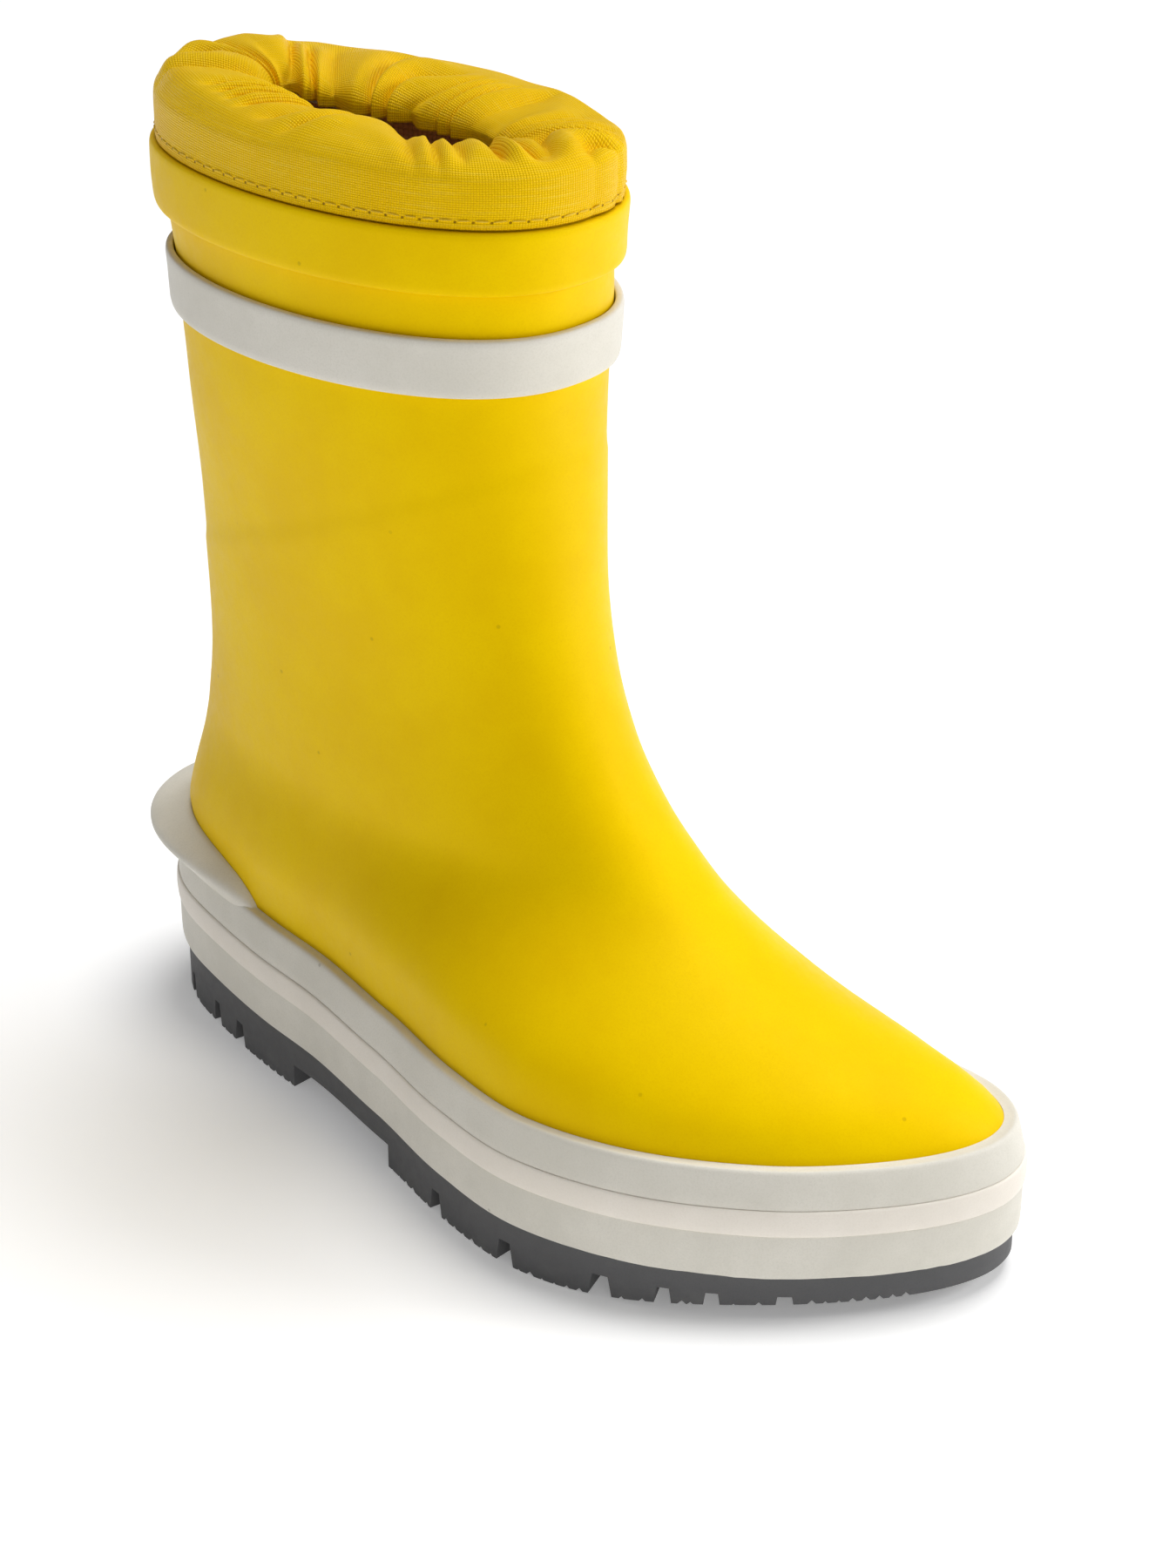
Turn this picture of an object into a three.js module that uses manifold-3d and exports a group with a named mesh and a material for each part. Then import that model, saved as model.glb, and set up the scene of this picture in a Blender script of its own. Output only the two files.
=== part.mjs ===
// Child's rubber rain boot, right foot. Millimetres, +Z up, toe towards -Y,
// outer side of the foot towards -X.
// One surface formula gives the outside of the rubber upper. Every other layer is set off from it.
import * as THREE from 'three';
import { mergeVertices } from 'three/addons/utils/BufferGeometryUtils.js';
import Module from 'manifold-3d';

const { lerp, smoothstep, degToRad } = THREE.MathUtils;
const wasm = await Module();
wasm.setup();

// Overall sizes
const soleLength = 212;       // heel to toe over the foxing
const footWidth = 86;         // the foot's widest place over the foxing
const shaftTop = 199;         // top edge of the rubber shaft above the ground
const legWidth = 60;          // the shaft across its widest place

// Fits
const gap = 0.3;              // between pieces that lie against each other
const columns = 36;           // facets round the boot

// Foot and shaft
const ankleHeight = 102;      // where the shaft begins
const heelRise = 1.9;         // how much the sole is thicker at the heel than in its middle
const leanStart = 35;         // the layers lean with the sole up to here
const leanEnd = 70;           // and no longer from here
const legRoundness = 0.87;    // power of the shaft's oval; 1 is an ellipse, less is squarer
const blendStart = 44;        // the foot's plan turns into the shaft's oval from here
const blendEnd = 69;          // to here

// Layers of the wall, each measured inwards
const upperThickness = 2.0;
const stiffenerThickness = 1.0;
const liningThickness = 1.1;

// Sole
const soleTop = 11.3;         // level on which the upper, the foxing and the insole board stand
const soleInset = 1.8;        // outsole's edge behind the foxing's edge
const cleatDepth = 5.2;
const trayFloor = 8.7;        // floor of the tray that holds the wedge and the filler
const trayWall = 9;           // width of the tray's rim
const archFront = 0.04;       // shares of the sole's length from its middle, towards the heel
const archBack = 0.21;
const archClearance = 5.2;    // the outsole is this far off the ground under the arch
const toeSpring = 3.6;        // the tread's rise at the toe
const springFrom = -0.19;     // and where along the sole it starts and ends
const springTo = -0.42;
const springSteps = 5;

// Foxing, the rubber strip round the foot
const foxingHeight = 23;
const foxingReach = 4.6;      // its widest place, out from the upper
const foxingTopInset = 2.7;
const stripeLow = 9.8;        // lower and upper edge of the stripe above the foxing's lower edge
const stripeHigh = 15.5;
const stripeThickness = 1.2;
const stripeCrown = 0.2;      // the stripe's middle stands out from its edges
const foxingFace = 0.5;       // face below and above the stripe, behind the widest line
const foxingFoot = 0.3;       // its foot falls back further
const foxingBevel = [0.8, 1.4];       // top edge, [inwards, height]

// Heel kicker
const kickerHalfAngle = degToRad(52);
const kickerReach = 10;
const kickerHeight = 9.5;

// Bands and back strip
const trimThickness = 1.7;
const topBandThickness = 2.0;
const trimWidth = 11.3;
const topBandWidth = 12;
const topBandHigh = shaftTop - 5;     // the bands hang from the shaft's top edge
const topBandLow = topBandHigh - topBandWidth;
const trimLow = shaftTop - 37;
const trimHigh = trimLow + trimWidth;
const bandBevel = 0.5;        // how far a band's edges fall back
const bandBevelHeight = 0.7;
const backStripHalfAngle = degToRad(10);
const backStripThickness = 1.0;

// Insole
const boardThickness = 1.6;
const foamThickness = 4;
const coverThickness = 1;
const insoleClearance = 0.6;

// Stiffeners
const toePuffHalfAngle = degToRad(60);
const toePuffTop = 54;
const counterHalfAngle = degToRad(60);
const counterTop = 72;
const interliningTop = 114;
const footLiningTop = 114;

// Gathered collar
const fabricThickness = 0.8;
const wallHeight = 10.5;      // smooth part of the collar above the top band
const gatherHeight = 4.6;     // the gathers' crest above the smooth part
const mouthLength = 54;
const mouthWidth = 20;
const mouthShift = [-3.5, -3.5];      // the mouth's middle from the shaft's middle
const lipDrop = 4.5;          // how deep the hem turns down into the mouth
const elasticRadius = 1.1;
const threadThickness = 0.5;
const seamRise = 1.8;         // seam above the fabric's lower edge

// Monotone cubic through a few [position, value] points; flat past both ends.
function through(points) {
  const slope = (i) => (points[i + 1][1] - points[i][1]) / (points[i + 1][0] - points[i][0]);
  const tangents = points.map((_, i) => {
    if (i === 0) return slope(0);
    if (i === points.length - 1) return slope(i - 1);
    const before = slope(i - 1);
    const after = slope(i);
    return before * after > 0 ? 2 * before * after / (before + after) : 0;
  });
  return (x) => {
    const at = THREE.MathUtils.clamp(x, points[0][0], points.at(-1)[0]);
    const found = points.findIndex((p) => p[0] > at);
    const i = (found === -1 ? points.length - 1 : found) - 1;
    const width = points[i + 1][0] - points[i][0];
    const t = (at - points[i][0]) / width;
    const keep = (1 + 2 * t) * (1 - t) ** 2 * points[i][1] + t * t * (3 - 2 * t) * points[i + 1][1];
    const bend = t * (1 - t) ** 2 * tangents[i] + t * t * (t - 1) * tangents[i + 1];
    return keep + bend * width;
  };
}

// Heights in the foot are in millimetres; in the shaft they are shares of its height.
const inShaft = (share) => lerp(ankleHeight, shaftTop, share);
// Front and back edge of the boot, as shares of the sole's length from its middle.
const frontLine = through([
  [24, -0.479], [32, -0.485], [39, -0.454], [47, -0.361], [54.5, -0.28], [63, -0.204],
  [74, -0.136], [87, -0.088], [ankleHeight, -0.06], [inShaft(0.2), -0.0425],
  [inShaft(0.5), -0.033], [shaftTop, -0.061],
]);
const backLine = through([
  [46, 0.471], [54.5, 0.461], [63, 0.45], [74, 0.438], [87, 0.427], [ankleHeight, 0.421],
  [inShaft(0.2), 0.4175], [inShaft(0.5), 0.416], [inShaft(0.7), 0.422], [inShaft(0.88), 0.43],
  [shaftTop, 0.431],
]);
// Half width of the shaft by height, as a share of its widest.
const legHalf = through([
  [60, 0.397], [92, 0.41], [inShaft(0.2), 0.45], [inShaft(0.6), 0.52], [shaftTop, 0.5],
]);
// Middle line and fullness of the foot from toe to heel, by share of the sole's length.
const footMiddle = through([
  [-0.48, 0.155], [-0.44, 0.105], [-0.37, 0.02], [-0.26, -0.057], [-0.17, -0.083], [-0.065, -0.092],
  [0.05, -0.08], [0.16, -0.056], [0.25, -0.033], [0.35, 0.001], [0.46, 0.02],
]);
const footFullness = through([
  [-0.48, 0.455], [-0.44, 0.455], [-0.37, 0.45], [-0.26, 0.45], [-0.17, 0.441], [-0.065, 0.385],
  [0.05, 0.324], [0.16, 0.302], [0.25, 0.326], [0.35, 0.382], [0.46, 0.49],
]);

// The sole leans from heel to toe, and the layers above it take up the lean by the ankle.
function lean(y, level) {
  return heelRise * 2 * (y / soleLength) * (1 - smoothstep(level, leanStart, leanEnd));
}

// Outside of the upper. The angle runs from the back (0) round the outer side to the toe (PI).
function surface(level, angle) {
  const share = (1 - Math.cos(angle)) / 2;
  const y = soleLength * lerp(backLine(level), frontLine(level), share);
  const side = Math.sin(angle);
  const along = y / soleLength;
  const foot = footWidth * (footMiddle(along) - footFullness(along) * side);
  const leg = -legWidth * legHalf(level) * Math.sign(side) * Math.abs(side) ** legRoundness;
  const x = lerp(foot, leg, smoothstep(level, blendStart, blendEnd));
  return new THREE.Vector3(x, y, level + lean(y, level));
}

function normal(level, angle) {
  const around = surface(level, angle - 0.02).sub(surface(level, angle + 0.02));
  const upwards = surface(level + 0.4, angle).sub(surface(level - 0.4, angle));
  return upwards.cross(around).normalize();
}

// A point set off from the upper's outside, along its normal; inwards is negative.
function setOff(level, angle, distance) {
  return surface(level, angle).addScaledVector(normal(level, angle), distance);
}

// The same in plan only, for the strips and plates of the sole.
function planOff(level, angle, distance) {
  const flat = normal(level, angle).setZ(0).normalize();
  return surface(level, angle).addScaledVector(flat, distance);
}

const footReference = 28;     // level whose plan the sole follows
function soleEdge(angle, inset, level) {
  const point = planOff(footReference, angle, foxingReach - inset);
  return point.setZ(level + lean(point.y, level));
}

const turn = Array.from({ length: columns }, (_, i) => 2 * Math.PI * i / columns);

// Angles from one to another: the boot's own columns between them, and the two ends.
function anglesBetween(from, to) {
  const step = 2 * Math.PI / columns;
  const list = [from];
  for (let i = Math.ceil(from / step + 0.15); i * step < to - 0.15 * step; i += 1) list.push(i * step);
  return [...list, to];
}

// Levels at which the surface bends most lie closer together.
const allLevels = [
  soleTop, 24, 30, 35, 39, 43, 47, 50.5, 54, 57.5, 61, 66, 72, 79, 87, 95, 104, 114, 128, 145,
  trimLow, trimHigh, topBandLow, topBandHigh, shaftTop,
];
function levelsBetween(from, to) {
  return [from, ...allLevels.filter((level) => level > from + 1.2 && level < to - 1.2), to];
}

// A wall between two grids of points, outer[row][column] and inner[row][column].
// closed joins the last column to the first; keep(row, column) leaves cells out.
function wall(outer, inner, closed, keep = () => true) {
  const rows = outer.length;
  const count = outer[0].length;
  const cellColumns = closed ? count : count - 1;
  const points = [...outer.flat(), ...inner.flat()];
  const out = (r, c) => r * count + c % count;
  const inn = (r, c) => rows * count + out(r, c);
  const faces = [];
  const quad = (a, b, c, d) => faces.push(a, b, c, a, c, d);
  const held = (r, c) => {
    if (r < 0 || r > rows - 2) return false;
    if (!closed && (c < 0 || c > cellColumns - 1)) return false;
    return keep(r, (c + cellColumns) % cellColumns);
  };
  for (let r = 0; r < rows - 1; r += 1) {
    for (let c = 0; c < cellColumns; c += 1) {
      if (!held(r, c)) continue;
      quad(out(r, c), out(r, c + 1), out(r + 1, c + 1), out(r + 1, c));
      quad(inn(r, c), inn(r + 1, c), inn(r + 1, c + 1), inn(r, c + 1));
      if (!held(r - 1, c)) quad(out(r, c), inn(r, c), inn(r, c + 1), out(r, c + 1));
      if (!held(r + 1, c)) quad(out(r + 1, c), out(r + 1, c + 1), inn(r + 1, c + 1), inn(r + 1, c));
      if (!held(r, c - 1)) quad(out(r, c), out(r + 1, c), inn(r + 1, c), inn(r, c));
      if (!held(r, c + 1)) quad(out(r, c + 1), inn(r, c + 1), inn(r + 1, c + 1), out(r + 1, c + 1));
    }
  }
  return solid(points, faces);
}

// Closed mesh from points and faces, turned so that its faces point out.
function solid(points, faces) {
  const volume = faces.reduce((sum, _, i) => (i % 3 ? sum
    : sum + points[faces[i]].dot(points[faces[i + 1]].clone().cross(points[faces[i + 2]]))), 0);
  const order = volume < 0 ? faces.toReversed() : faces;
  const used = [...new Set(order)].sort((a, b) => a - b);
  const place = new Map(used.map((index, i) => [index, i]));
  const geometry = new THREE.BufferGeometry().setFromPoints(used.map((index) => points[index]));
  geometry.setIndex(order.map((index) => place.get(index)));
  return geometry;
}

// Wall between two distances from the upper's outside, over some levels and angles.
function layer(levels, angles, outerDistance, innerDistance, closed, keep) {
  const grid = (distance) => levels.map((level) => angles.map((angle) => setOff(level, angle, distance)));
  return wall(grid(outerDistance), grid(innerDistance), closed, keep);
}

// Flat plate with an outline in plan, between two levels that lean with the sole.
function plate(outline, low, high) {
  const shape = new THREE.Shape(outline.map((point) => new THREE.Vector2(point.x, point.y)));
  const geometry = new THREE.ExtrudeGeometry(shape, { depth: 1, bevelEnabled: false });
  const position = geometry.attributes.position;
  for (let i = 0; i < position.count; i += 1) {
    const level = position.getZ(i) > 0.5 ? high : low;
    position.setZ(i, level + lean(position.getY(i), level));
  }
  return geometry;
}

function toManifold(geometry) {
  const bare = geometry.clone();
  bare.deleteAttribute('normal');
  bare.deleteAttribute('uv');
  const merged = mergeVertices(bare, 1e-4);
  return new wasm.Manifold(new wasm.Mesh({
    numProp: 3,
    vertProperties: Float32Array.from(merged.attributes.position.array),
    triVerts: Uint32Array.from(merged.index.array),
  }));
}

function fromManifold(manifold) {
  const mesh = manifold.getMesh();
  const geometry = new THREE.BufferGeometry();
  geometry.setAttribute('position', new THREE.BufferAttribute(mesh.vertProperties, 3));
  geometry.setIndex(new THREE.BufferAttribute(mesh.triVerts, 1));
  return geometry;
}

// --- Sole ---

// Where the edge of the sole crosses a place along its length, on one side.
function edgeAngle(share, side) {
  let low = 0;
  let high = Math.PI;
  for (let i = 0; i < 30; i += 1) {
    const middle = (low + high) / 2;
    if (soleEdge(side * middle, soleInset, 0).y > share * soleLength) low = middle;
    else high = middle;
  }
  return side * low;
}

// Notches in the sole's edge: [share of the sole's length from its middle, width].
const notches = [
  [0.418, 2.4], [0.357, 2.8], [0.31, 3.6],
  [-0.048, 3.6], [-0.15, 3.8], [-0.25, 4.4], [-0.303, 3.3], [-0.341, 3.3], [-0.392, 3.8],
];
const notchReach = 12;        // from the sole's edge inwards
const grooveWidth = 2.6;      // grooves between the notches, in the middle of the tread
const grooveDepth = 3.4;
const grooveShare = 0.4;      // of the foot's width at that place
const lastGroove = -0.36;     // nothing crosses the tread in front of this place

function wedge(width, height, length) {
  const shape = new THREE.Shape([
    new THREE.Vector2(-width * 0.62, -1), new THREE.Vector2(width * 0.62, -1),
    new THREE.Vector2(width * 0.36, height), new THREE.Vector2(-width * 0.36, height),
  ]);
  return new THREE.ExtrudeGeometry(shape, { depth: length, bevelEnabled: false }).rotateX(Math.PI / 2);
}

function cutNotch(share, width, side) {
  const angle = edgeAngle(share, side);
  const edge = soleEdge(angle, soleInset, 0);
  const inward = soleEdge(angle, soleInset + 1, 0).sub(edge).setZ(0).normalize();
  const cutter = wedge(width, cleatDepth, notchReach + 4);
  cutter.rotateZ(Math.atan2(inward.y, inward.x) + Math.PI / 2);
  return cutter.translate(edge.x - 4 * inward.x, edge.y - 4 * inward.y, 0);
}

function cutGroove(share) {
  const outer = soleEdge(edgeAngle(share, 1), soleInset, 0);
  const inner = soleEdge(edgeAngle(share, -1), soleInset, 0);
  const length = (inner.x - outer.x) * grooveShare;
  const groove = wedge(grooveWidth, grooveDepth, length).rotateZ(Math.PI / 2);
  return groove.translate((outer.x + inner.x - length) / 2, share * soleLength, 0);
}

// What lies below the tread: level ground that curves up under the toe.
function underTread() {
  const profile = [new THREE.Vector2(soleLength, 0)];
  for (let i = 0; i <= springSteps; i += 1) {
    const share = lerp(springFrom, springTo, i / springSteps);
    const rise = toeSpring * smoothstep(-share, -springFrom, -springTo);
    profile.push(new THREE.Vector2(share * soleLength, rise));
  }
  profile.push(new THREE.Vector2(-soleLength, toeSpring));
  profile.push(new THREE.Vector2(-soleLength, -20), new THREE.Vector2(soleLength, -20));
  const shape = new THREE.Shape(profile);
  const ground = new THREE.ExtrudeGeometry(shape, { depth: footWidth * 2, bevelEnabled: false });
  return ground.rotateX(Math.PI / 2).rotateZ(Math.PI / 2).translate(-footWidth, 0, 0);
}

// The ground side of the outsole is level up to the toe, while its top leans.
function outsole() {
  const block = plate(turn.map((angle) => soleEdge(angle, soleInset, 0)), -2 * heelRise, soleTop - gap);
  const tray = plate(turn.map((angle) => soleEdge(angle, soleInset + trayWall, 0)), trayFloor, soleTop + 2);
  const arch = new THREE.BoxGeometry(footWidth * 2, (archBack - archFront) * soleLength, archClearance * 2);
  arch.translate(0, (archBack + archFront) / 2 * soleLength, 0);
  let body = toManifold(block);
  for (const cutter of [underTread(), tray, arch]) body = body.subtract(toManifold(cutter));
  for (const [share, width] of notches) {
    for (const side of [1, -1]) body = body.subtract(toManifold(cutNotch(share, width, side)));
    if (share > lastGroove) body = body.subtract(toManifold(cutGroove(share)));
  }
  return fromManifold(body);
}

// Part of the tray's filling, between two shares of the sole's length.
function trayFilling(from, to) {
  const edge = turn.map((angle) => soleEdge(angle, soleInset + trayWall + gap, 0));
  return plate(trimmed(edge, from * soleLength, to * soleLength), trayFloor + gap, soleTop - gap);
}

// Outline cut off square at two places along the length.
function trimmed(edge, low, high) {
  const list = [];
  edge.forEach((point, i) => {
    const next = edge[(i + 1) % edge.length];
    if (point.y > low && point.y < high) list.push(point);
    for (const y of point.y > next.y ? [high, low] : [low, high]) {
      const share = (y - point.y) / (next.y - point.y);
      if (share > 0 && share < 1) list.push(point.clone().lerp(next, share));
    }
  });
  return list;
}

// Rows of points round the foot, from a list of [inset from the widest line, height above the foxing's foot].
function soleRing(section) {
  return section.map(([inset, height]) => turn.map((angle) => soleEdge(angle, inset, soleTop + height)));
}

// The foxing stands on the outsole, hugs the upper and has a groove for the stripe.
function foxing() {
  const face = foxingFace;
  const groove = stripeThickness + gap;
  const outer = soleRing([
    [face + foxingFoot, 0], [face, stripeLow - gap], [groove, stripeLow - gap],
    [groove, stripeHigh + gap], [face, stripeHigh + gap],
    [foxingTopInset - foxingBevel[0], foxingHeight - foxingBevel[1]], [foxingTopInset, foxingHeight],
  ]);
  const inner = outer.map((_, i) => turn.map((angle) => (
    planOff(soleTop + foxingHeight * i / (outer.length - 1), angle, 2 * gap))));
  return wall(outer, inner, true);
}

function foxingStripe() {
  const middle = (stripeLow + stripeHigh) / 2;
  const outer = soleRing([[stripeCrown, stripeLow], [0, middle], [stripeCrown, stripeHigh]]);
  const inner = soleRing([stripeLow, middle, stripeHigh].map((height) => [stripeThickness, height]));
  return wall(outer, inner, true);
}

// Ledge round the heel, highest and widest at the back, running out on the foxing's top edge.
function heelKicker() {
  const angles = anglesBetween(-kickerHalfAngle, kickerHalfAngle);
  const base = soleTop + foxingHeight;
  // [reach at its ends, at the back; height at its ends, at the back]
  const section = [
    [1.3, 2.0, gap, gap], [1.6, 0.85 * kickerReach, 0.9, 0.34 * kickerHeight],
    [1.7, kickerReach, 1.5, 0.55 * kickerHeight], [1.4, 0.84 * kickerReach, 2.2, 0.72 * kickerHeight],
    [0.8, 1.4, 2.8, kickerHeight],
  ];
  const point = (angle, reach, height) => {
    const flat = normal(base, angle).setZ(0).normalize();
    return surface(base + height, angle).addScaledVector(flat, reach);
  };
  const swell = (angle) => 1 - Math.abs(angle / kickerHalfAngle) ** 3;
  const outer = section.map(([r0, r1, h0, h1]) => angles.map((angle) => (
    point(angle, lerp(r0, r1, swell(angle)), lerp(h0, h1, swell(angle))))));
  const inner = section.map((_, i) => angles.map((angle) => (
    point(angle, gap + 0.1, lerp(gap, lerp(section[4][2], section[4][3], swell(angle)), i / 4)))));
  return wall(outer, inner, false);
}

// --- Shaft ---

function band(low, high, distance, thickness) {
  const levels = [low, low + bandBevelHeight, high - bandBevelHeight, high];
  const edge = (i) => (i % 3 === 0 ? thickness - bandBevel : thickness);
  const outer = levels.map((level, i) => turn.map((angle) => setOff(level, angle, distance + edge(i))));
  const inner = levels.map((level) => turn.map((angle) => setOff(level, angle, distance)));
  return wall(outer, inner, true);
}

// --- Gathered collar ---

function mouth(angle) {
  const x = mouthShift[0] - mouthWidth / 2 * Math.sin(angle);
  const middle = soleLength * (frontLine(shaftTop) + backLine(shaftTop)) / 2;
  return new THREE.Vector3(x, middle + mouthShift[1] + mouthLength / 2 * Math.cos(angle), 0);
}

// The collar's section at an angle: outer and inner side, as [way towards the mouth, height] lists.
function collarSection(reach) {
  const foot = topBandHigh + gap;
  const crease = foot + wallHeight;
  const crest = crease + gatherHeight;
  const outer = [
    [0, foot], [0, shaftTop], [0, crease - 1.4], [1, crease + 0.3], [0.16 * reach, lerp(crease, crest, 0.6)],
    [0.42 * reach, crest], [0.72 * reach, crest - 0.4], [0.93 * reach, crest - 2.2],
    [reach, crest - lipDrop], [reach, crest - lipDrop - 3.5],
  ];
  const inner = outer.map(([u, z], i) => {
    const before = outer[Math.max(i - 1, 0)];
    const after = outer[Math.min(i + 1, outer.length - 1)];
    const length = Math.hypot(after[0] - before[0], after[1] - before[1]);
    const along = [(after[0] - before[0]) / length, (after[1] - before[1]) / length];
    return [u + along[1] * fabricThickness, z - along[0] * fabricThickness];
  });
  return { outer, inner };
}

const fabricOff = gap + fabricThickness;
function collarPoint(angle, u, z) {
  const start = setOff(shaftTop, angle, fabricOff).setZ(0);
  const inward = mouth(angle).sub(start).normalize();
  const base = z < shaftTop ? setOff(z, angle, fabricOff).setZ(0) : start;
  return base.addScaledVector(inward, u).setZ(z);
}

function collarReach(angle) {
  return mouth(angle).distanceTo(setOff(shaftTop, angle, fabricOff).setZ(0));
}

function collarFabric() {
  const side = (which) => {
    const rows = collarSection(1).outer.length;
    return Array.from({ length: rows }, (_, i) => turn.map((angle) => {
      const [u, z] = collarSection(collarReach(angle))[which][i];
      return collarPoint(angle, u, z);
    }));
  };
  return wall(side('outer'), side('inner'), true);
}

// Ring with a round section, centred on a line of points round the boot; its ends join.
function cordRing(line, radius, sides) {
  const rings = line.map((point, i) => {
    const before = line[(i + line.length - 1) % line.length];
    const along = line[(i + 1) % line.length].clone().sub(before).normalize();
    const across = new THREE.Vector3(0, 0, 1).cross(along).normalize();
    return Array.from({ length: sides }, (_, k) => {
      const angle = 2 * Math.PI * k / sides;
      const height = point.z + radius * Math.sin(angle);
      return point.clone().addScaledVector(across, radius * Math.cos(angle)).setZ(height);
    });
  });
  const faces = [];
  const at = (i, k) => (i % line.length) * sides + k % sides;
  for (let i = 0; i < line.length; i += 1) {
    for (let k = 0; k < sides; k += 1) {
      faces.push(at(i, k), at(i + 1, k), at(i + 1, k + 1), at(i, k), at(i + 1, k + 1), at(i, k + 1));
    }
  }
  return solid(rings.flat(), faces);
}

function collarElastic() {
  const height = topBandHigh + gap + wallHeight + gatherHeight - lipDrop - 1;
  const back = fabricThickness + 2 * gap + elasticRadius;
  const line = turn.map((angle) => collarPoint(angle, collarReach(angle) - back, height));
  return cordRing(line, elasticRadius, 6);
}

function collarThread() {
  const height = topBandHigh + gap + seamRise;
  const off = fabricOff + gap + threadThickness / 2;
  return cordRing(turn.map((angle) => setOff(height, angle, off).setZ(height)), threadThickness / 2, 4);
}

// --- Insole ---

function insolePlate(low, thickness, inset) {
  return plate(turn.map((angle) => planOff(low, angle, -inset)), low, low + thickness);
}

// --- Materials ---

const material = (color, roughness) => new THREE.MeshStandardMaterial({ color, roughness, metalness: 0 });
const yellowRubber = material('#eec400', 0.5);
const beigeRubber = material('#cfcabc', 0.6);
const whiteRubber = material('#ece7dc', 0.6);
const greyRubber = material('#646566', 0.7);
const yellowNylon = material('#f7cb08', 0.55);
const yellowThread = material('#e8b800', 0.6);
const whiteElastic = material('#e9e6df', 0.8);
const tanKnit = material('#a57050', 0.9);
const greyFelt = material('#8d8a84', 0.95);
const fibreBoard = material('#b39b74', 0.9);
const cottonDuck = material('#cbbf9f', 0.9);
const spongeRubber = material('#5b5852', 0.9);
const paleFoam = material('#dcdcd2', 0.85);

// --- Assembly ---

const boot = new THREE.Group();
boot.name = 'rain_boot';

function add(name, geometry, look) {
  const mesh = new THREE.Mesh(geometry, look);
  mesh.name = name;
  boot.add(mesh);
}

const boardTop = soleTop + boardThickness;
const liningFoot = boardTop + gap;
const stiffenerOff = -upperThickness - gap;
const footLiningOff = stiffenerOff - stiffenerThickness - gap;
const insoleInset = liningThickness - footLiningOff + insoleClearance;
const aroundPuff = 0.006;     // angle that keeps the interlining off its neighbours

add('outsole', outsole(), greyRubber);
add('heel_wedge', trayFilling(0.2, 1), spongeRubber);
add('forefoot_filler', trayFilling(-1, 0.2 - gap / soleLength), spongeRubber);
add('foxing', foxing(), beigeRubber);
add('foxing_stripe', foxingStripe(), whiteRubber);
add('heel_kicker', heelKicker(), beigeRubber);

add('upper', layer(levelsBetween(soleTop, shaftTop), turn, 0, -upperThickness, true), yellowRubber);
add('back_strip', layer(
  levelsBetween(soleTop + foxingHeight + kickerHeight + 2, trimLow - 1),
  anglesBetween(-backStripHalfAngle, backStripHalfAngle), gap + backStripThickness, gap, false,
), yellowRubber);
add('trim_band', band(trimLow, trimHigh, gap, trimThickness), beigeRubber);
add('top_band', band(topBandLow, topBandHigh, gap, topBandThickness), yellowRubber);

const puffAngles = anglesBetween(Math.PI - toePuffHalfAngle, Math.PI + toePuffHalfAngle);
add('toe_puff', layer(levelsBetween(liningFoot, toePuffTop), puffAngles,
  stiffenerOff, stiffenerOff - stiffenerThickness, false), fibreBoard);
const counterAngles = anglesBetween(-counterHalfAngle, counterHalfAngle);
add('heel_counter', layer(levelsBetween(liningFoot, counterTop), counterAngles,
  stiffenerOff, stiffenerOff - stiffenerThickness, false), fibreBoard);

// The interlining covers the foot between the puff and the counter, and the instep above the puff.
const puffFrom = Math.PI - toePuffHalfAngle - aroundPuff;
const puffTo = Math.PI + toePuffHalfAngle + aroundPuff;
const interAngles = [
  ...anglesBetween(counterHalfAngle + aroundPuff, puffFrom),
  ...anglesBetween(puffFrom, puffTo).slice(1, -1),
  ...anglesBetween(puffTo, 2 * Math.PI - counterHalfAngle - aroundPuff),
];
const interLevels = [
  ...levelsBetween(liningFoot, toePuffTop + gap),
  ...levelsBetween(toePuffTop + gap, interliningTop).slice(1),
];
const overPuff = (row, column) => {
  const angle = (interAngles[column] + interAngles[column + 1]) / 2;
  const low = interLevels[row] < toePuffTop;
  return !(low && Math.abs(angle - Math.PI) < toePuffHalfAngle);
};
add('vamp_interlining', layer(interLevels, interAngles, stiffenerOff, stiffenerOff - stiffenerThickness,
  false, overPuff), cottonDuck);

add('foot_lining', layer(levelsBetween(liningFoot, footLiningTop), turn,
  footLiningOff, footLiningOff - liningThickness, true), tanKnit);
add('leg_lining', layer(levelsBetween(footLiningTop + gap, shaftTop - 1), turn,
  stiffenerOff, stiffenerOff - liningThickness, true), tanKnit);

add('insole_board', insolePlate(soleTop, boardThickness, upperThickness + gap), fibreBoard);
add('insole_foam', insolePlate(boardTop + gap, foamThickness, insoleInset), paleFoam);
add('insole_cover', insolePlate(boardTop + 2 * gap + foamThickness, coverThickness, insoleInset), greyFelt);

add('collar_fabric', collarFabric(), yellowNylon);
add('collar_elastic', collarElastic(), whiteElastic);
add('collar_thread', collarThread(), yellowThread);

// The origin is on the ground, under the middle of the whole boot.
const box = new THREE.Box3().setFromObject(boot);
const middle = box.getCenter(new THREE.Vector3());
boot.position.set(-middle.x, -middle.y, -box.min.z);

export default boot;
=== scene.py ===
import math

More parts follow.
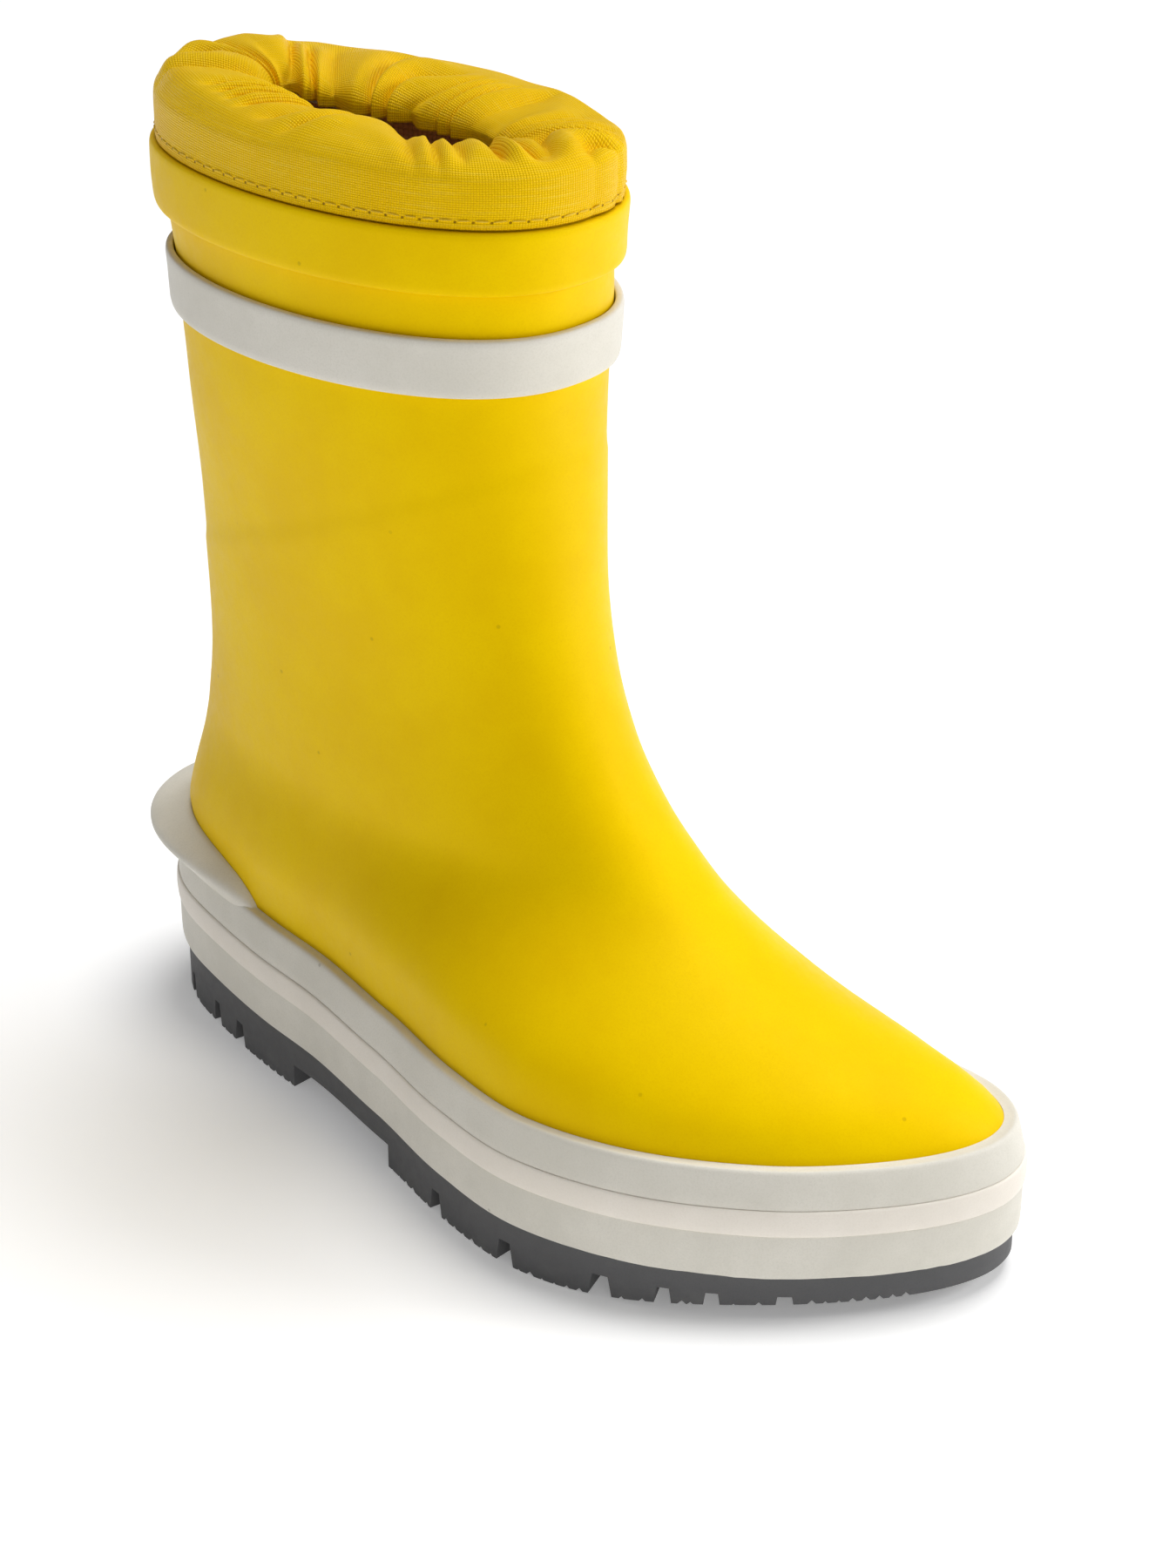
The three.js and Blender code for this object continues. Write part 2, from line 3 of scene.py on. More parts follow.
import bmesh
import bpy
import numpy as np
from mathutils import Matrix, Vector


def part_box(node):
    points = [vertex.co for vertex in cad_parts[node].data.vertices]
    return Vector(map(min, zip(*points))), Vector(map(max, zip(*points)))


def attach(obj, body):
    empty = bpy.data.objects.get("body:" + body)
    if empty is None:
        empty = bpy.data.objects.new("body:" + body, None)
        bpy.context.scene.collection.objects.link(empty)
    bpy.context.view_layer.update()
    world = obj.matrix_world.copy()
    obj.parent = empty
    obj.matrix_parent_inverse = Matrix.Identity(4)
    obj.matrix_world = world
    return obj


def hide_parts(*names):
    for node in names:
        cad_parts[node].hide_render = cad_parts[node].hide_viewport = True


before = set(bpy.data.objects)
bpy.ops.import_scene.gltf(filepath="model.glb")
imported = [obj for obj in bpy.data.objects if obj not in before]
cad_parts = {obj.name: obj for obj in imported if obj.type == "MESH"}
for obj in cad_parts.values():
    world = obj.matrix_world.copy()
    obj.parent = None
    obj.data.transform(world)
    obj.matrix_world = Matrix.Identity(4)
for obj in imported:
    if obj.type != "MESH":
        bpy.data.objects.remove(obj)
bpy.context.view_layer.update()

# A child's rain boot, right foot. Toe towards -Y, outer side towards -X.
# The shape functions work in millimetres, and meshes are made in metres.
mm = 0.001
fullTurn = 2 * math.pi
print("frame loaded, %d nodes" % len(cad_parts))

boot = {
    "soleLength": 212, "footWidth": 86, "legWidth": 60, "shaftTop": 199, "ankle": 102,
    "heelRise": 1.9, "leanStart": 35, "leanEnd": 70,    # the sole leans, and the leg doesn't
    "legRoundness": 0.87, "blendStart": 44, "blendEnd": 69,    # the foot's plan turns into the leg's oval
    "soleTop": 11.3, "footPlan": 28, "gap": 0.3, "foxingReach": 4.6,
    "trimMiddle": 168, "trimReach": 2.0,    # a level inside the trim band, and its outer face
    "topSway": (-0.9, 0.95), "swayFrom": 168, "swayTo": 190,    # the mouth leans a little back and out
}


def smooth(value, low, high):
    share = np.clip((np.asarray(value, float) - low) / (high - low), 0, 1)
    return share * share * (3 - 2 * share)


def lerp(a, b, share):
    return a + (b - a) * share


def unit(vectors):
    return vectors / np.linalg.norm(vectors, axis=-1, keepdims=True)


def through(points):    # monotone curve through a few (place, value) points
    places, values = np.array(points, float).T
    slopes = np.diff(values) / np.diff(places)
    tangents = np.concatenate([[slopes[0]], np.zeros(len(places) - 2), [slopes[-1]]])
    for i in range(1, len(places) - 1):
        before, after = slopes[i - 1], slopes[i]
        if before * after > 0:
            tangents[i] = 2 * before * after / (before + after)

    def line(x):
        at = np.clip(x, places[0], places[-1])
        i = np.clip(np.searchsorted(places, at, side="right") - 1, 0, len(places) - 2)
        width = places[i + 1] - places[i]
        t = (at - places[i]) / width
        keep = (1 + 2 * t) * (1 - t) ** 2 * values[i] + t * t * (3 - 2 * t) * values[i + 1]
        return keep + (t * (1 - t) ** 2 * tangents[i] + t * t * (t - 1) * tangents[i + 1]) * width
    return line


def inShaft(share):
    return lerp(boot["ankle"], boot["shaftTop"], share)


# front and back edge by height, and the leg's half width, as shares of the boot's sizes
frontLine = through([
    (24, -0.479), (32, -0.485), (39, -0.454), (47, -0.361), (54.5, -0.28), (63, -0.204), (74, -0.136),
    (87, -0.088), (102, -0.06), (inShaft(0.2), -0.0425), (inShaft(0.5), -0.033), (199, -0.061)])
backLine = through([
    (46, 0.471), (54.5, 0.461), (63, 0.45), (74, 0.438), (87, 0.427), (102, 0.421),
    (inShaft(0.2), 0.4175), (inShaft(0.5), 0.416), (inShaft(0.7), 0.422), (inShaft(0.88), 0.43),
    (199, 0.431)])
legHalf = through([
    (60, 0.397), (92, 0.41), (inShaft(0.2), 0.45), (inShaft(0.6), 0.52), (199, 0.5)])
# the foot's middle line and half width from toe to heel
footMiddle = through([
    (-0.48, 0.155), (-0.44, 0.105), (-0.37, 0.02), (-0.26, -0.057), (-0.17, -0.083), (-0.065, -0.092),
    (0.05, -0.08), (0.16, -0.056), (0.25, -0.033), (0.35, 0.001), (0.46, 0.02)])
footFullness = through([
    (-0.48, 0.455), (-0.44, 0.455), (-0.37, 0.45), (-0.26, 0.45), (-0.17, 0.441), (-0.065, 0.385),
    (0.05, 0.324), (0.16, 0.302), (0.25, 0.326), (0.35, 0.382), (0.46, 0.49)])


def lean(y, level):
    upright = smooth(level, boot["leanStart"], boot["leanEnd"])
    return boot["heelRise"] * 2 * y / boot["soleLength"] * (1 - upright)


def surface(level, angle):    # outside of the rubber; 0 is the back, a quarter turn the outer side
    level, angle = np.broadcast_arrays(np.asarray(level, float), np.asarray(angle, float))
    y = boot["soleLength"] * lerp(backLine(level), frontLine(level), (1 - np.cos(angle)) / 2)
    side = np.sin(angle)
    along = y / boot["soleLength"]
    foot = boot["footWidth"] * (footMiddle(along) - footFullness(along) * side)
    leg = -boot["legWidth"] * legHalf(level) * np.sign(side) * np.abs(side) ** boot["legRoundness"]
    x = lerp(foot, leg, smooth(level, boot["blendStart"], boot["blendEnd"]))
    sway = smooth(level, boot["swayFrom"], boot["swayTo"])
    height = level + lean(y, level)
    return np.stack([x + sway * boot["topSway"][0], y + sway * boot["topSway"][1], height], axis=-1)


def normalAt(level, angle):
    angle = np.asarray(angle, float)
    around = surface(level, angle - 0.02) - surface(level, angle + 0.02)
    upwards = surface(np.asarray(level) + 0.4, angle) - surface(np.asarray(level) - 0.4, angle)
    return unit(np.cross(upwards, around))


def setOff(level, angle, distance):    # along the surface's normal, out from the rubber
    distance = np.asarray(distance, float)
    return surface(level, angle) + normalAt(level, angle) * distance[..., None]


def planOff(level, angle, distance):    # in plan only
    flat = normalAt(level, angle)
    flat[..., 2] = 0
    distance = np.asarray(distance, float)
    return surface(level, angle) + unit(flat) * distance[..., None]


def soleEdge(angle, inset, level):    # a place by its distance behind the foot strip's widest line
    point = planOff(boot["footPlan"], angle, boot["foxingReach"] - np.asarray(inset, float))
    point[..., 2] = level + lean(point[..., 1], level)
    return point


def ringAngles(count):
    return np.arange(count) * fullTurn / count


def findPlace():    # from the boot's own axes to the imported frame, by the trim band
    turn = ringAngles(36)
    ring = setOff(boot["trimMiddle"], turn, boot["trimReach"])
    low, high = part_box("trim_band")
    middle = (ring.min(0) + ring.max(0)) / 2 * mm
    return np.array([(low.x + high.x) / 2 - middle[0], (low.y + high.y) / 2 - middle[1], 0])


place = findPlace()
print("boot's axes at %.2f, %.2f mm" % tuple(place[:2] / mm))


# Meshes from grids of points: rows go round the section, columns go round the boot

def rounded(corners, radius, steps=4):    # closed section with its corners rounded
    points = []
    corners = [np.array(corner, float) for corner in corners]
    for i, corner in enumerate(corners):
        sides = [corners[i - 1] - corner, corners[(i + 1) % len(corners)] - corner]
        size = min(radius, 0.45 * np.linalg.norm(sides[0]), 0.45 * np.linalg.norm(sides[1]))
        start, end = (corner + unit(side) * size for side in sides)
        for t in np.linspace(0, 1, steps):
            points.append((1 - t) ** 2 * start + 2 * t * (1 - t) * corner + t * t * end)
    return np.array(points)


def spaced(points, step):    # more points on the long sides of a closed section
    out = []
    for i, point in enumerate(points):
        after = points[(i + 1) % len(points)]
        parts = max(1, int(math.ceil(np.linalg.norm(after - point) / step)))
        out += [lerp(point, after, k / parts) for k in range(parts)]
    return np.array(out)


def smoothLine(points, count):    # Catmull-Rom line through a few points, open
    points = np.array(points, float)
    ends = np.concatenate([[2 * points[0] - points[1]], points, [2 * points[-1] - points[-2]]])
    t = np.linspace(0, len(points) - 1 - 1e-9, count)
    i = t.astype(int)
    t = (t - i)[:, None]
    a, b, c, d = (ends[i + k] for k in range(4))
    bend, twist = 2 * a - 5 * b + 4 * c - d, 3 * b - a - 3 * c + d
    return 0.5 * (2 * b + (c - a) * t + bend * t * t + twist * t ** 3)


def arcLength(points):
    return np.concatenate([[0], np.cumsum(np.linalg.norm(np.diff(points, axis=0), axis=1))])


def meshObject(name, verts, faces, edges=()):
    mesh = bpy.data.meshes.new(name)
    mesh.from_pydata(np.asarray(verts, float).tolist(), edges, faces)
    mesh.update()
    obj = bpy.data.objects.new(name, mesh)
    bpy.context.scene.collection.objects.link(obj)
    return obj


def faceOut(obj):
    made = bmesh.new()
    made.from_mesh(obj.data)
    bmesh.ops.remove_doubles(made, verts=made.verts, dist=1e-7)
    bmesh.ops.dissolve_degenerate(made, dist=1e-7, edges=made.edges)
    if made.calc_volume(signed=True) < 0:
        bmesh.ops.reverse_faces(made, faces=made.faces)
    made.to_mesh(obj.data)
    made.free()


def gridPiece(name, grid, around=True, closedRows=True, sharpFrom=40, uvRow=0):    # open ends get flat caps
    rows, columns = grid.shape[:2]
    spanRows = rows if closedRows else rows - 1
    spanColumns = columns if around else columns - 1
    r, c = np.meshgrid(np.arange(spanRows), np.arange(spanColumns), indexing="ij")
    r, c = r.ravel(), c.ravel()
    corners = [(r, c), (r, c + 1), (r + 1, c + 1), (r + 1, c)]
    quads = np.stack([(a % rows) * columns + b % columns for a, b in corners], axis=1).tolist()
    if not around:
        quads.append([int(i) * columns for i in range(rows)])
        quads.append([int(i) * columns + columns - 1 for i in reversed(range(rows))])
    if not closedRows:
        quads.append(list(reversed(range(columns))))
        quads.append([(rows - 1) * columns + i for i in range(columns)])
    obj = meshObject(name, grid.reshape(-1, 3) * mm + place, quads)
    u = arcLength(np.concatenate([grid[uvRow], grid[uvRow][:1]]))
    v = arcLength(np.concatenate([grid[:, 0], grid[:1, 0]]))
    flat = np.stack([np.stack([u[b] * mm, v[a] * mm], axis=1) for a, b in corners], axis=1).reshape(-1, 2)
    layer = obj.data.uv_layers.new(name="cut")
    allFlat = np.zeros((len(obj.data.loops), 2), np.float32)
    allFlat[:len(flat)] = flat
    layer.data.foreach_set("uv", allFlat.ravel())
    faceOut(obj)
    obj.data.shade_smooth()
    obj.data.set_sharp_from_angle(angle=math.radians(sharpFrom))
    return obj


def levelPiece(name, section, angles, around=True, shift=None):    # section of (distance, level)
    distance, level = section[:, :1], section[:, 1:]
    if shift is not None:
        distance = distance + shift(level, angles) * (distance > -0.5)    # only the outer face moves
    return gridPiece(name, setOff(level, angles, distance), around)


def settle(obj, body, slot, material, *nodes):
    obj.data.materials.clear()
    obj.data.materials.append(material)
    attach(obj, body)
    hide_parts(*nodes)


# Shader tools

def tone(red, green, blue):    # a display colour as a linear one
    def linear(value):
        value /= 255
        return value / 12.92 if value <= 0.04045 else ((value + 0.055) / 1.055) ** 2.4
    return (linear(red), linear(green), linear(blue), 1)


def toned(look):
    return {key: tone(*value) if isinstance(value, tuple) else value for key, value in look.items()}


def addNode(tree, kind, inputs=None, **settings):    # an input is a socket to link, or a plain value
    node = tree.nodes.new(kind)
    for key, value in settings.items():
        setattr(node, key, value)
    for key, value in (inputs or {}).items():
        if isinstance(value, bpy.types.NodeSocket):
            tree.links.new(value, node.inputs[key])
        else:
            node.inputs[key].default_value = value
    return node


def firstOut(tree, kind, inputs=None, **settings):
    return addNode(tree, kind, inputs, **settings).outputs[0]


def mathNode(tree, operation, *values, clamp=False):
    return firstOut(tree, "ShaderNodeMath", dict(enumerate(values)), operation=operation, use_clamp=clamp)


def product(tree, first, second):
    return mathNode(tree, "MULTIPLY", first, second)


def vectorNode(tree, operation, *values):
    return firstOut(tree, "ShaderNodeVectorMath", dict(enumerate(values)), operation=operation)


def noiseNode(tree, vector, scale, detail=2.0, roughness=0.5):
    return addNode(tree, "ShaderNodeTexNoise", {"Vector": vector, "Scale": scale, "Detail": detail,
                                                "Roughness": roughness}).outputs["Fac"]


def rangeNode(tree, value, fromLow, fromHigh, toLow=0.0, toHigh=1.0):
    return firstOut(tree, "ShaderNodeMapRange", {
        "Value": value, "From Min": fromLow, "From Max": fromHigh, "To Min": toLow, "To Max": toHigh},
        interpolation_type="SMOOTHSTEP")


def mixColour(tree, share, first, second):
    return addNode(tree, "ShaderNodeMix", {0: share, 6: first, 7: second}, data_type="RGBA").outputs[2]


def shaderGroup(name, inputs, outputs):    # a colour, vector or number input, by its value
    tree = bpy.data.node_groups.new(name, "ShaderNodeTree")
    for label, value in inputs.items():
        kind = "Float" if isinstance(value, float) else "Color" if len(value) == 4 else "Vector"
        socket = tree.interface.new_socket(name=label, in_out="INPUT", socket_type="NodeSocket" + kind)
        socket.default_value = value
    for label in outputs:
        kind = "NodeSocketColor" if label == "Color" else "NodeSocketFloat"
        tree.interface.new_socket(name=label, in_out="OUTPUT", socket_type=kind)
    return tree, tree.nodes.new("NodeGroupInput").outputs, tree.nodes.new("NodeGroupOutput").inputs


def makeGrain():    # fine moulded grain, slow mottling and a few specks, over the object's own place
    tree, given, result = shaderGroup("rubberGrain", {
        "Base": (0.8, 0.8, 0.8, 1), "Shade": (0.6, 0.6, 0.6, 1), "Speck": (0.3, 0.3, 0.3, 1), "Mottle": 0.3,
        "Specks": 0.5, "Grain": 2600.0}, ("Color", "Height", "Spread"))
    here = addNode(tree, "ShaderNodeTexCoord").outputs["Object"]
    slow = rangeNode(tree, noiseNode(tree, here, 38.0, 4.0, 0.6), 0.35, 0.7)
    fine = noiseNode(tree, here, given["Grain"], 3.0, 0.6)
    middle = noiseNode(tree, here, 420.0, 3.0, 0.55)
    colour = mixColour(tree, product(tree, slow, given["Mottle"]), given["Base"], given["Shade"])
    grainShade = product(tree, rangeNode(tree, fine, 0.4, 0.75), given["Mottle"])
    colour = mixColour(tree, product(tree, grainShade, 0.8), colour, given["Shade"])
    cells = addNode(tree, "ShaderNodeTexVoronoi", {"Vector": here, "Scale": 125.0, "Randomness": 1.0})
    chosen = rangeNode(tree, firstOut(tree, "ShaderNodeSeparateColor", {0: cells.outputs["Color"]}),
                       0.72, 0.74)
    dot = rangeNode(tree, cells.outputs["Distance"], 0.035, 0.065, 1.0, 0.0)
    speck = product(tree, product(tree, dot, chosen), given["Specks"])
    colour = mixColour(tree, speck, colour, given["Speck"])
    tree.links.new(colour, result["Color"])
    height = mathNode(tree, "ADD", product(tree, fine, 0.35), product(tree, middle, 0.65))
    tree.links.new(mathNode(tree, "SUBTRACT", height, product(tree, speck, 0.4)), result["Height"])
    tree.links.new(rangeNode(tree, middle, 0.25, 0.75, -1.0, 1.0), result["Spread"])
    return tree


def makeWearAndHighlight():    # pointy edges lighter, partly rubbed and partly a painted highlight, and dust near the ground
    tree, given, result = shaderGroup("edgeWear", {
        "Color": (0.8, 0.8, 0.8, 1), "Rubbed": (0.9, 0.9, 0.9, 1), "Dust": (0.5, 0.48, 0.42, 1), "Edges": 0.5,
        "Dusty": 0.2, "Dust height": 0.02}, ("Color", "Mask"))
    here = addNode(tree, "ShaderNodeTexCoord").outputs["Object"]
    point = addNode(tree, "ShaderNodeNewGeometry").outputs["Pointiness"]
    broken = noiseNode(tree, here, 330.0, 4.0, 0.6)
    # painted highlight and wear: pointy edges turn towards the lighter rubbed colour
    edge = product(tree, rangeNode(tree, point, 0.52, 0.62), rangeNode(tree, broken, 0.35, 0.65))
    edge = product(tree, edge, given["Edges"])
    colour = mixColour(tree, edge, given["Color"], given["Rubbed"])
    high = addNode(tree, "ShaderNodeSeparateXYZ", {0: here}).outputs["Z"]
    low = mathNode(tree, "SUBTRACT", 1.0, mathNode(tree, "DIVIDE", high, given["Dust height"]), clamp=True)
    patch = rangeNode(tree, noiseNode(tree, here, 90.0, 5.0, 0.65), 0.4, 0.7)
    dusty = product(tree, product(tree, low, patch), given["Dusty"])
    colour = mixColour(tree, dusty, colour, given["Dust"])
    tree.links.new(colour, result["Color"])
    tree.links.new(mathNode(tree, "ADD", edge, dusty, clamp=True), result["Mask"])
    return tree


def makeWeave():    # plain weave on the cloth's own cut: over and under threads
    tree, given, result = shaderGroup("plainWeave", {
        "Cut": (0.0, 0.0, 0.0), "Threads": 2000.0, "Slubs": 0.3}, ("Height", "Gap", "Slub"))
    scaled = vectorNode(tree, "MULTIPLY", given["Cut"], firstOut(tree, "ShaderNodeCombineXYZ", {
        0: given["Threads"], 1: given["Threads"], 2: 1.0}))
    across = addNode(tree, "ShaderNodeSeparateXYZ", {0: scaled})
    bends = []
    for axis in (0, 1):
        turned = product(tree, across.outputs[axis], math.pi)
        bends.append((mathNode(tree, "ABSOLUTE", mathNode(tree, "SINE", turned)),
                      mathNode(tree, "FLOOR", across.outputs[axis])))
    # the large number keeps the count above zero
    count = mathNode(tree, "ADD", bends[0][1], mathNode(tree, "ADD", bends[1][1], 4000.0))
    even = mathNode(tree, "MODULO", count, 2.0)
    warp = product(tree, bends[0][0], mathNode(tree, "POWER", bends[1][0], 0.5))
    weft = product(tree, bends[1][0], mathNode(tree, "POWER", bends[0][0], 0.5))
    height = mathNode(tree, "ADD", product(tree, warp, even),
                      product(tree, weft, mathNode(tree, "SUBTRACT", 1.0, even)))
    tree.links.new(height, result["Height"])
    tree.links.new(rangeNode(tree, height, 0.1, 0.55, 1.0, 0.0), result["Gap"])
    stretched = vectorNode(tree, "MULTIPLY", given["Cut"], (90.0, 1500.0, 1.0))
    slub = rangeNode(tree, noiseNode(tree, stretched, 1.0, 2.0), 0.5, 0.8)
    tree.links.new(product(tree, slub, given["Slubs"]), result["Slub"])
    return tree


rubberGrain, edgeWear, plainWeave = makeGrain(), makeWearAndHighlight(), makeWeave()


def newMaterial(name):
    material = bpy.data.materials.new(name)
    material.use_nodes = True
    tree = material.node_tree
    tree.nodes.clear()
    skin = tree.nodes.new("ShaderNodeBsdfPrincipled")
    tree.links.new(skin.outputs[0], tree.nodes.new("ShaderNodeOutputMaterial").inputs["Surface"])
    return material, tree, skin


def placed(tree, group, inputs):
    return addNode(tree, "ShaderNodeGroup", inputs, node_tree=group).outputs


def bumped(tree, skin, height, strength, distance):
    bump = addNode(tree, "ShaderNodeBump", {"Height": height, "Strength": strength, "Distance": distance})
    tree.links.new(bump.outputs["Normal"], skin.inputs["Normal"])


def rubberMaterial(name, look):
    look = toned(look)
    material, tree, skin = newMaterial(name)
    grain = placed(tree, rubberGrain, {"Base": look["base"], "Shade": look["shade"], "Speck": look["speck"],
                                       "Mottle": look["mottle"], "Specks": look["specks"]})
    wearAndHighlight = placed(tree, edgeWear, {"Color": grain["Color"], "Rubbed": look["rubbedAndHighlit"], "Edges": look["edges"],
                                   "Dusty": look["dusty"], "Dust height": look.get("dustHeight", 0.02)})
    tree.links.new(wearAndHighlight["Color"], skin.inputs["Base Color"])
    rough = mathNode(tree, "ADD", look["roughness"], product(tree, grain["Spread"], 0.05))
    rough = mathNode(tree, "ADD", rough, product(tree, wearAndHighlight["Mask"], 0.15))
    tree.links.new(rough, skin.inputs["Roughness"])
    skin.inputs["Specular IOR Level"].default_value = look["gloss"]
    skin.inputs["Specular Tint"].default_value = look.get("sheenTint", (1, 1, 1, 1))
    bumped(tree, skin, grain["Height"], look["bump"], 0.0002)
    return material


# each finish's rubbed colour lightens its pointy edges: partly wear, partly a painted highlight
yellowRubber = rubberMaterial("yellowRubber", {
    "base": (246, 207, 0), "shade": (233, 186, 0), "speck": (150, 110, 10), "rubbedAndHighlit": (250, 216, 30),
    "mottle": 0.4, "specks": 0.3, "edges": 0.2, "dusty": 0.0, "roughness": 0.5, "gloss": 0.2, "bump": 0.35,
    "sheenTint": (255, 214, 40)})
beigeRubber = rubberMaterial("beigeRubber", {
    "base": (227, 223, 212), "shade": (208, 204, 191), "speck": (120, 112, 98), "rubbedAndHighlit": (238, 234, 224),
    "mottle": 0.5, "specks": 0.35, "edges": 0.6, "dusty": 0.25, "dustHeight": 0.03, "roughness": 0.55,
    "gloss": 0.35, "bump": 0.35})
whiteRubber = rubberMaterial("whiteRubber", {
    "base": (240, 233, 222), "shade": (226, 218, 205), "speck": (150, 140, 125), "rubbedAndHighlit": (250, 246, 238),
    "mottle": 0.4, "specks": 0.25, "edges": 0.5, "dusty": 0.2, "dustHeight": 0.03, "roughness": 0.52,
    "gloss": 0.35, "bump": 0.3})
greyRubber = rubberMaterial("greyRubber", {
    "base": (92, 92, 93), "shade": (80, 80, 81), "speck": (120, 119, 116), "rubbedAndHighlit": (128, 128, 127),
    "mottle": 0.35, "specks": 0.3, "edges": 0.0, "dusty": 0.1, "dustHeight": 0.006, "roughness": 0.62,
    "gloss": 0.3, "bump": 0.35})
spongeRubber = rubberMaterial("spongeRubber", {
    "base": (86, 83, 78), "shade": (60, 58, 54), "speck": (30, 29, 27), "rubbedAndHighlit": (100, 97, 92),
    "mottle": 0.8, "specks": 1.0, "edges": 0.2, "dusty": 0.0, "roughness": 0.9, "gloss": 0.2, "bump": 1.0})


def clothMaterial(name, look):
    look = toned(look)
    material, tree, skin = newMaterial(name)
    if look.get("ownCut"):    # threads follow the cloth's own cut
        cut = addNode(tree, "ShaderNodeUVMap", uv_map="cut").outputs[0]
    else:
        cut = addNode(tree, "ShaderNodeTexCoord").outputs["Object"]
    weave = placed(tree, plainWeave, {"Cut": cut, "Threads": look["threads"], "Slubs": look["slubs"]})
    here = addNode(tree, "ShaderNodeTexCoord").outputs["Object"]
    slow = rangeNode(tree, noiseNode(tree, here, 60.0, 3.0), 0.35, 0.7)
    colour = mixColour(tree, product(tree, slow, 0.35), look["base"], look["shade"])
    # painted shade: the weave's low places between threads turn towards the deep colour
    colour = mixColour(tree, product(tree, weave["Gap"], look["gapShade"]), colour, look["deep"])
    colour = mixColour(tree, weave["Slub"], colour, look["light"])
    height = weave["Height"]
    if look.get("holes"):    # needle holes along the seam, dented, with painted shade in each hole
        colour, height = needleHoles(tree, cut, colour, height, look["holes"])
    tree.links.new(colour, skin.inputs["Base Color"])
    tree.links.new(mathNode(tree, "ADD", look["roughness"], product(tree, weave["Gap"], 0.15)),
                   skin.inputs["Roughness"])
    skin.inputs["Specular IOR Level"].default_value = look["gloss"]
    skin.inputs["Sheen Weight"].default_value = look["sheen"]
    skin.inputs["Sheen Roughness"].default_value = 0.45
    skin.inputs["Sheen Tint"].default_value = look.get("sheenTint", look["light"])
    skin.inputs["Specular Tint"].default_value = look.get("sheenTint", (1, 1, 1, 1))
    bumped(tree, skin, height, look["bump"], look["relief"])
    return material


def needleHoles(tree, cut, colour, height, holes):
    flat = addNode(tree, "ShaderNodeSeparateXYZ", {0: cut})
    along = mathNode(tree, "FRACT", mathNode(tree, "ADD", mathNode(
        tree, "DIVIDE", flat.outputs[0], holes["pitch"]), holes["start"]))
    along = product(tree, mathNode(tree, "SUBTRACT", along, 0.5), holes["pitch"])
    up = mathNode(tree, "SUBTRACT", flat.outputs[1], holes["height"])
    squares = [mathNode(tree, "POWER", mathNode(tree, "ABSOLUTE", side), 2.0) for side in (along, up)]
    away = mathNode(tree, "SQRT", mathNode(tree, "ADD", *squares))
    hole = rangeNode(tree, away, holes["radius"] * 0.6, holes["radius"] * 1.25, 1.0, 0.0)
    dent = rangeNode(tree, mathNode(tree, "ABSOLUTE", up), 0.0, holes["dent"], 1.0, 0.0)
    # painted shade: each needle hole is darkened towards the holes' colour
    colour = mixColour(tree, product(tree, hole, 0.85), colour, tone(*holes["colour"]))
    height = mathNode(tree, "SUBTRACT", height, product(tree, hole, 2.0))
    return colour, mathNode(tree, "SUBTRACT", height, product(tree, dent, 0.6))


seam = {"pitch": 3.3, "rise": 1.8, "length": 2.5, "thickness": 0.42, "slant": 0.12, "seed": 11}

# in each cloth, deep is the painted shade colour of the weave's gaps
tanKnit = clothMaterial("tanKnit", {
    "base": (236, 186, 146), "shade": (218, 166, 126), "deep": (176, 124, 88), "light": (246, 208, 174),
    "threads": 900.0, "slubs": 0.5, "gapShade": 0.5, "roughness": 0.88, "gloss": 0.2, "sheen": 0.3, "bump": 0.7,
    "relief": 0.0004, "ownCut": True})
greyFelt = clothMaterial("greyFelt", {
    "base": (150, 147, 141), "shade": (126, 123, 117), "deep": (92, 90, 86), "light": (186, 183, 176),
    "threads": 700.0, "slubs": 0.8, "gapShade": 0.4, "roughness": 0.95, "gloss": 0.1, "sheen": 0.5, "bump": 0.6,
    "relief": 0.0003})
cottonDuck = clothMaterial("cottonDuck", {
    "base": (206, 194, 163), "shade": (188, 175, 142), "deep": (140, 128, 98), "light": (226, 217, 192),
    "threads": 1200.0, "slubs": 0.5, "gapShade": 0.5, "roughness": 0.9, "gloss": 0.2, "sheen": 0.2, "bump": 0.6,
    "relief": 0.0003})
fibreBoard = clothMaterial("fibreBoard", {
    "base": (182, 158, 118), "shade": (160, 136, 98), "deep": (120, 98, 66), "light": (205, 184, 146),
    "threads": 420.0, "slubs": 1.0, "gapShade": 0.15, "roughness": 0.92, "gloss": 0.15, "sheen": 0.1,
    "bump": 0.3, "relief": 0.0002})
whiteElastic = clothMaterial("whiteElastic", {
    "base": (233, 230, 222), "shade": (214, 210, 200), "deep": (168, 162, 150), "light": (250, 248, 243),
    "threads": 1400.0, "slubs": 0.2, "gapShade": 0.5, "roughness": 0.75, "gloss": 0.25, "sheen": 0.3,
    "bump": 0.8, "relief": 0.0003, "ownCut": True})
yellowThread = clothMaterial("yellowThread", {
    "base": (240, 200, 24), "shade": (222, 176, 10), "deep": (190, 138, 0), "light": (255, 226, 90),
    "threads": 5200.0, "slubs": 0.3, "gapShade": 0.4, "roughness": 0.5, "gloss": 0.4, "sheen": 0.3, "bump": 0.5,
    "relief": 0.0001})
paleFoam = rubberMaterial("paleFoam", {
    "base": (222, 221, 210), "shade": (203, 201, 188), "speck": (160, 157, 143), "rubbedAndHighlit": (235, 234, 226),
    "mottle": 0.6, "specks": 1.0, "edges": 0.2, "dusty": 0.0, "roughness": 0.85, "gloss": 0.15,
    "bump": 0.9})
print("materials made")

# Upper: one dipped shell, with the edges of its inner patches just showing

upperSizes = {
    "thickness": 2.0, "columns": 200, "step": 1.6, "waver": 0.12,
    "patchRise": 0.3, "patchBack": 108, "patchFront": 146,    # the patches' top edge, behind and in front
}


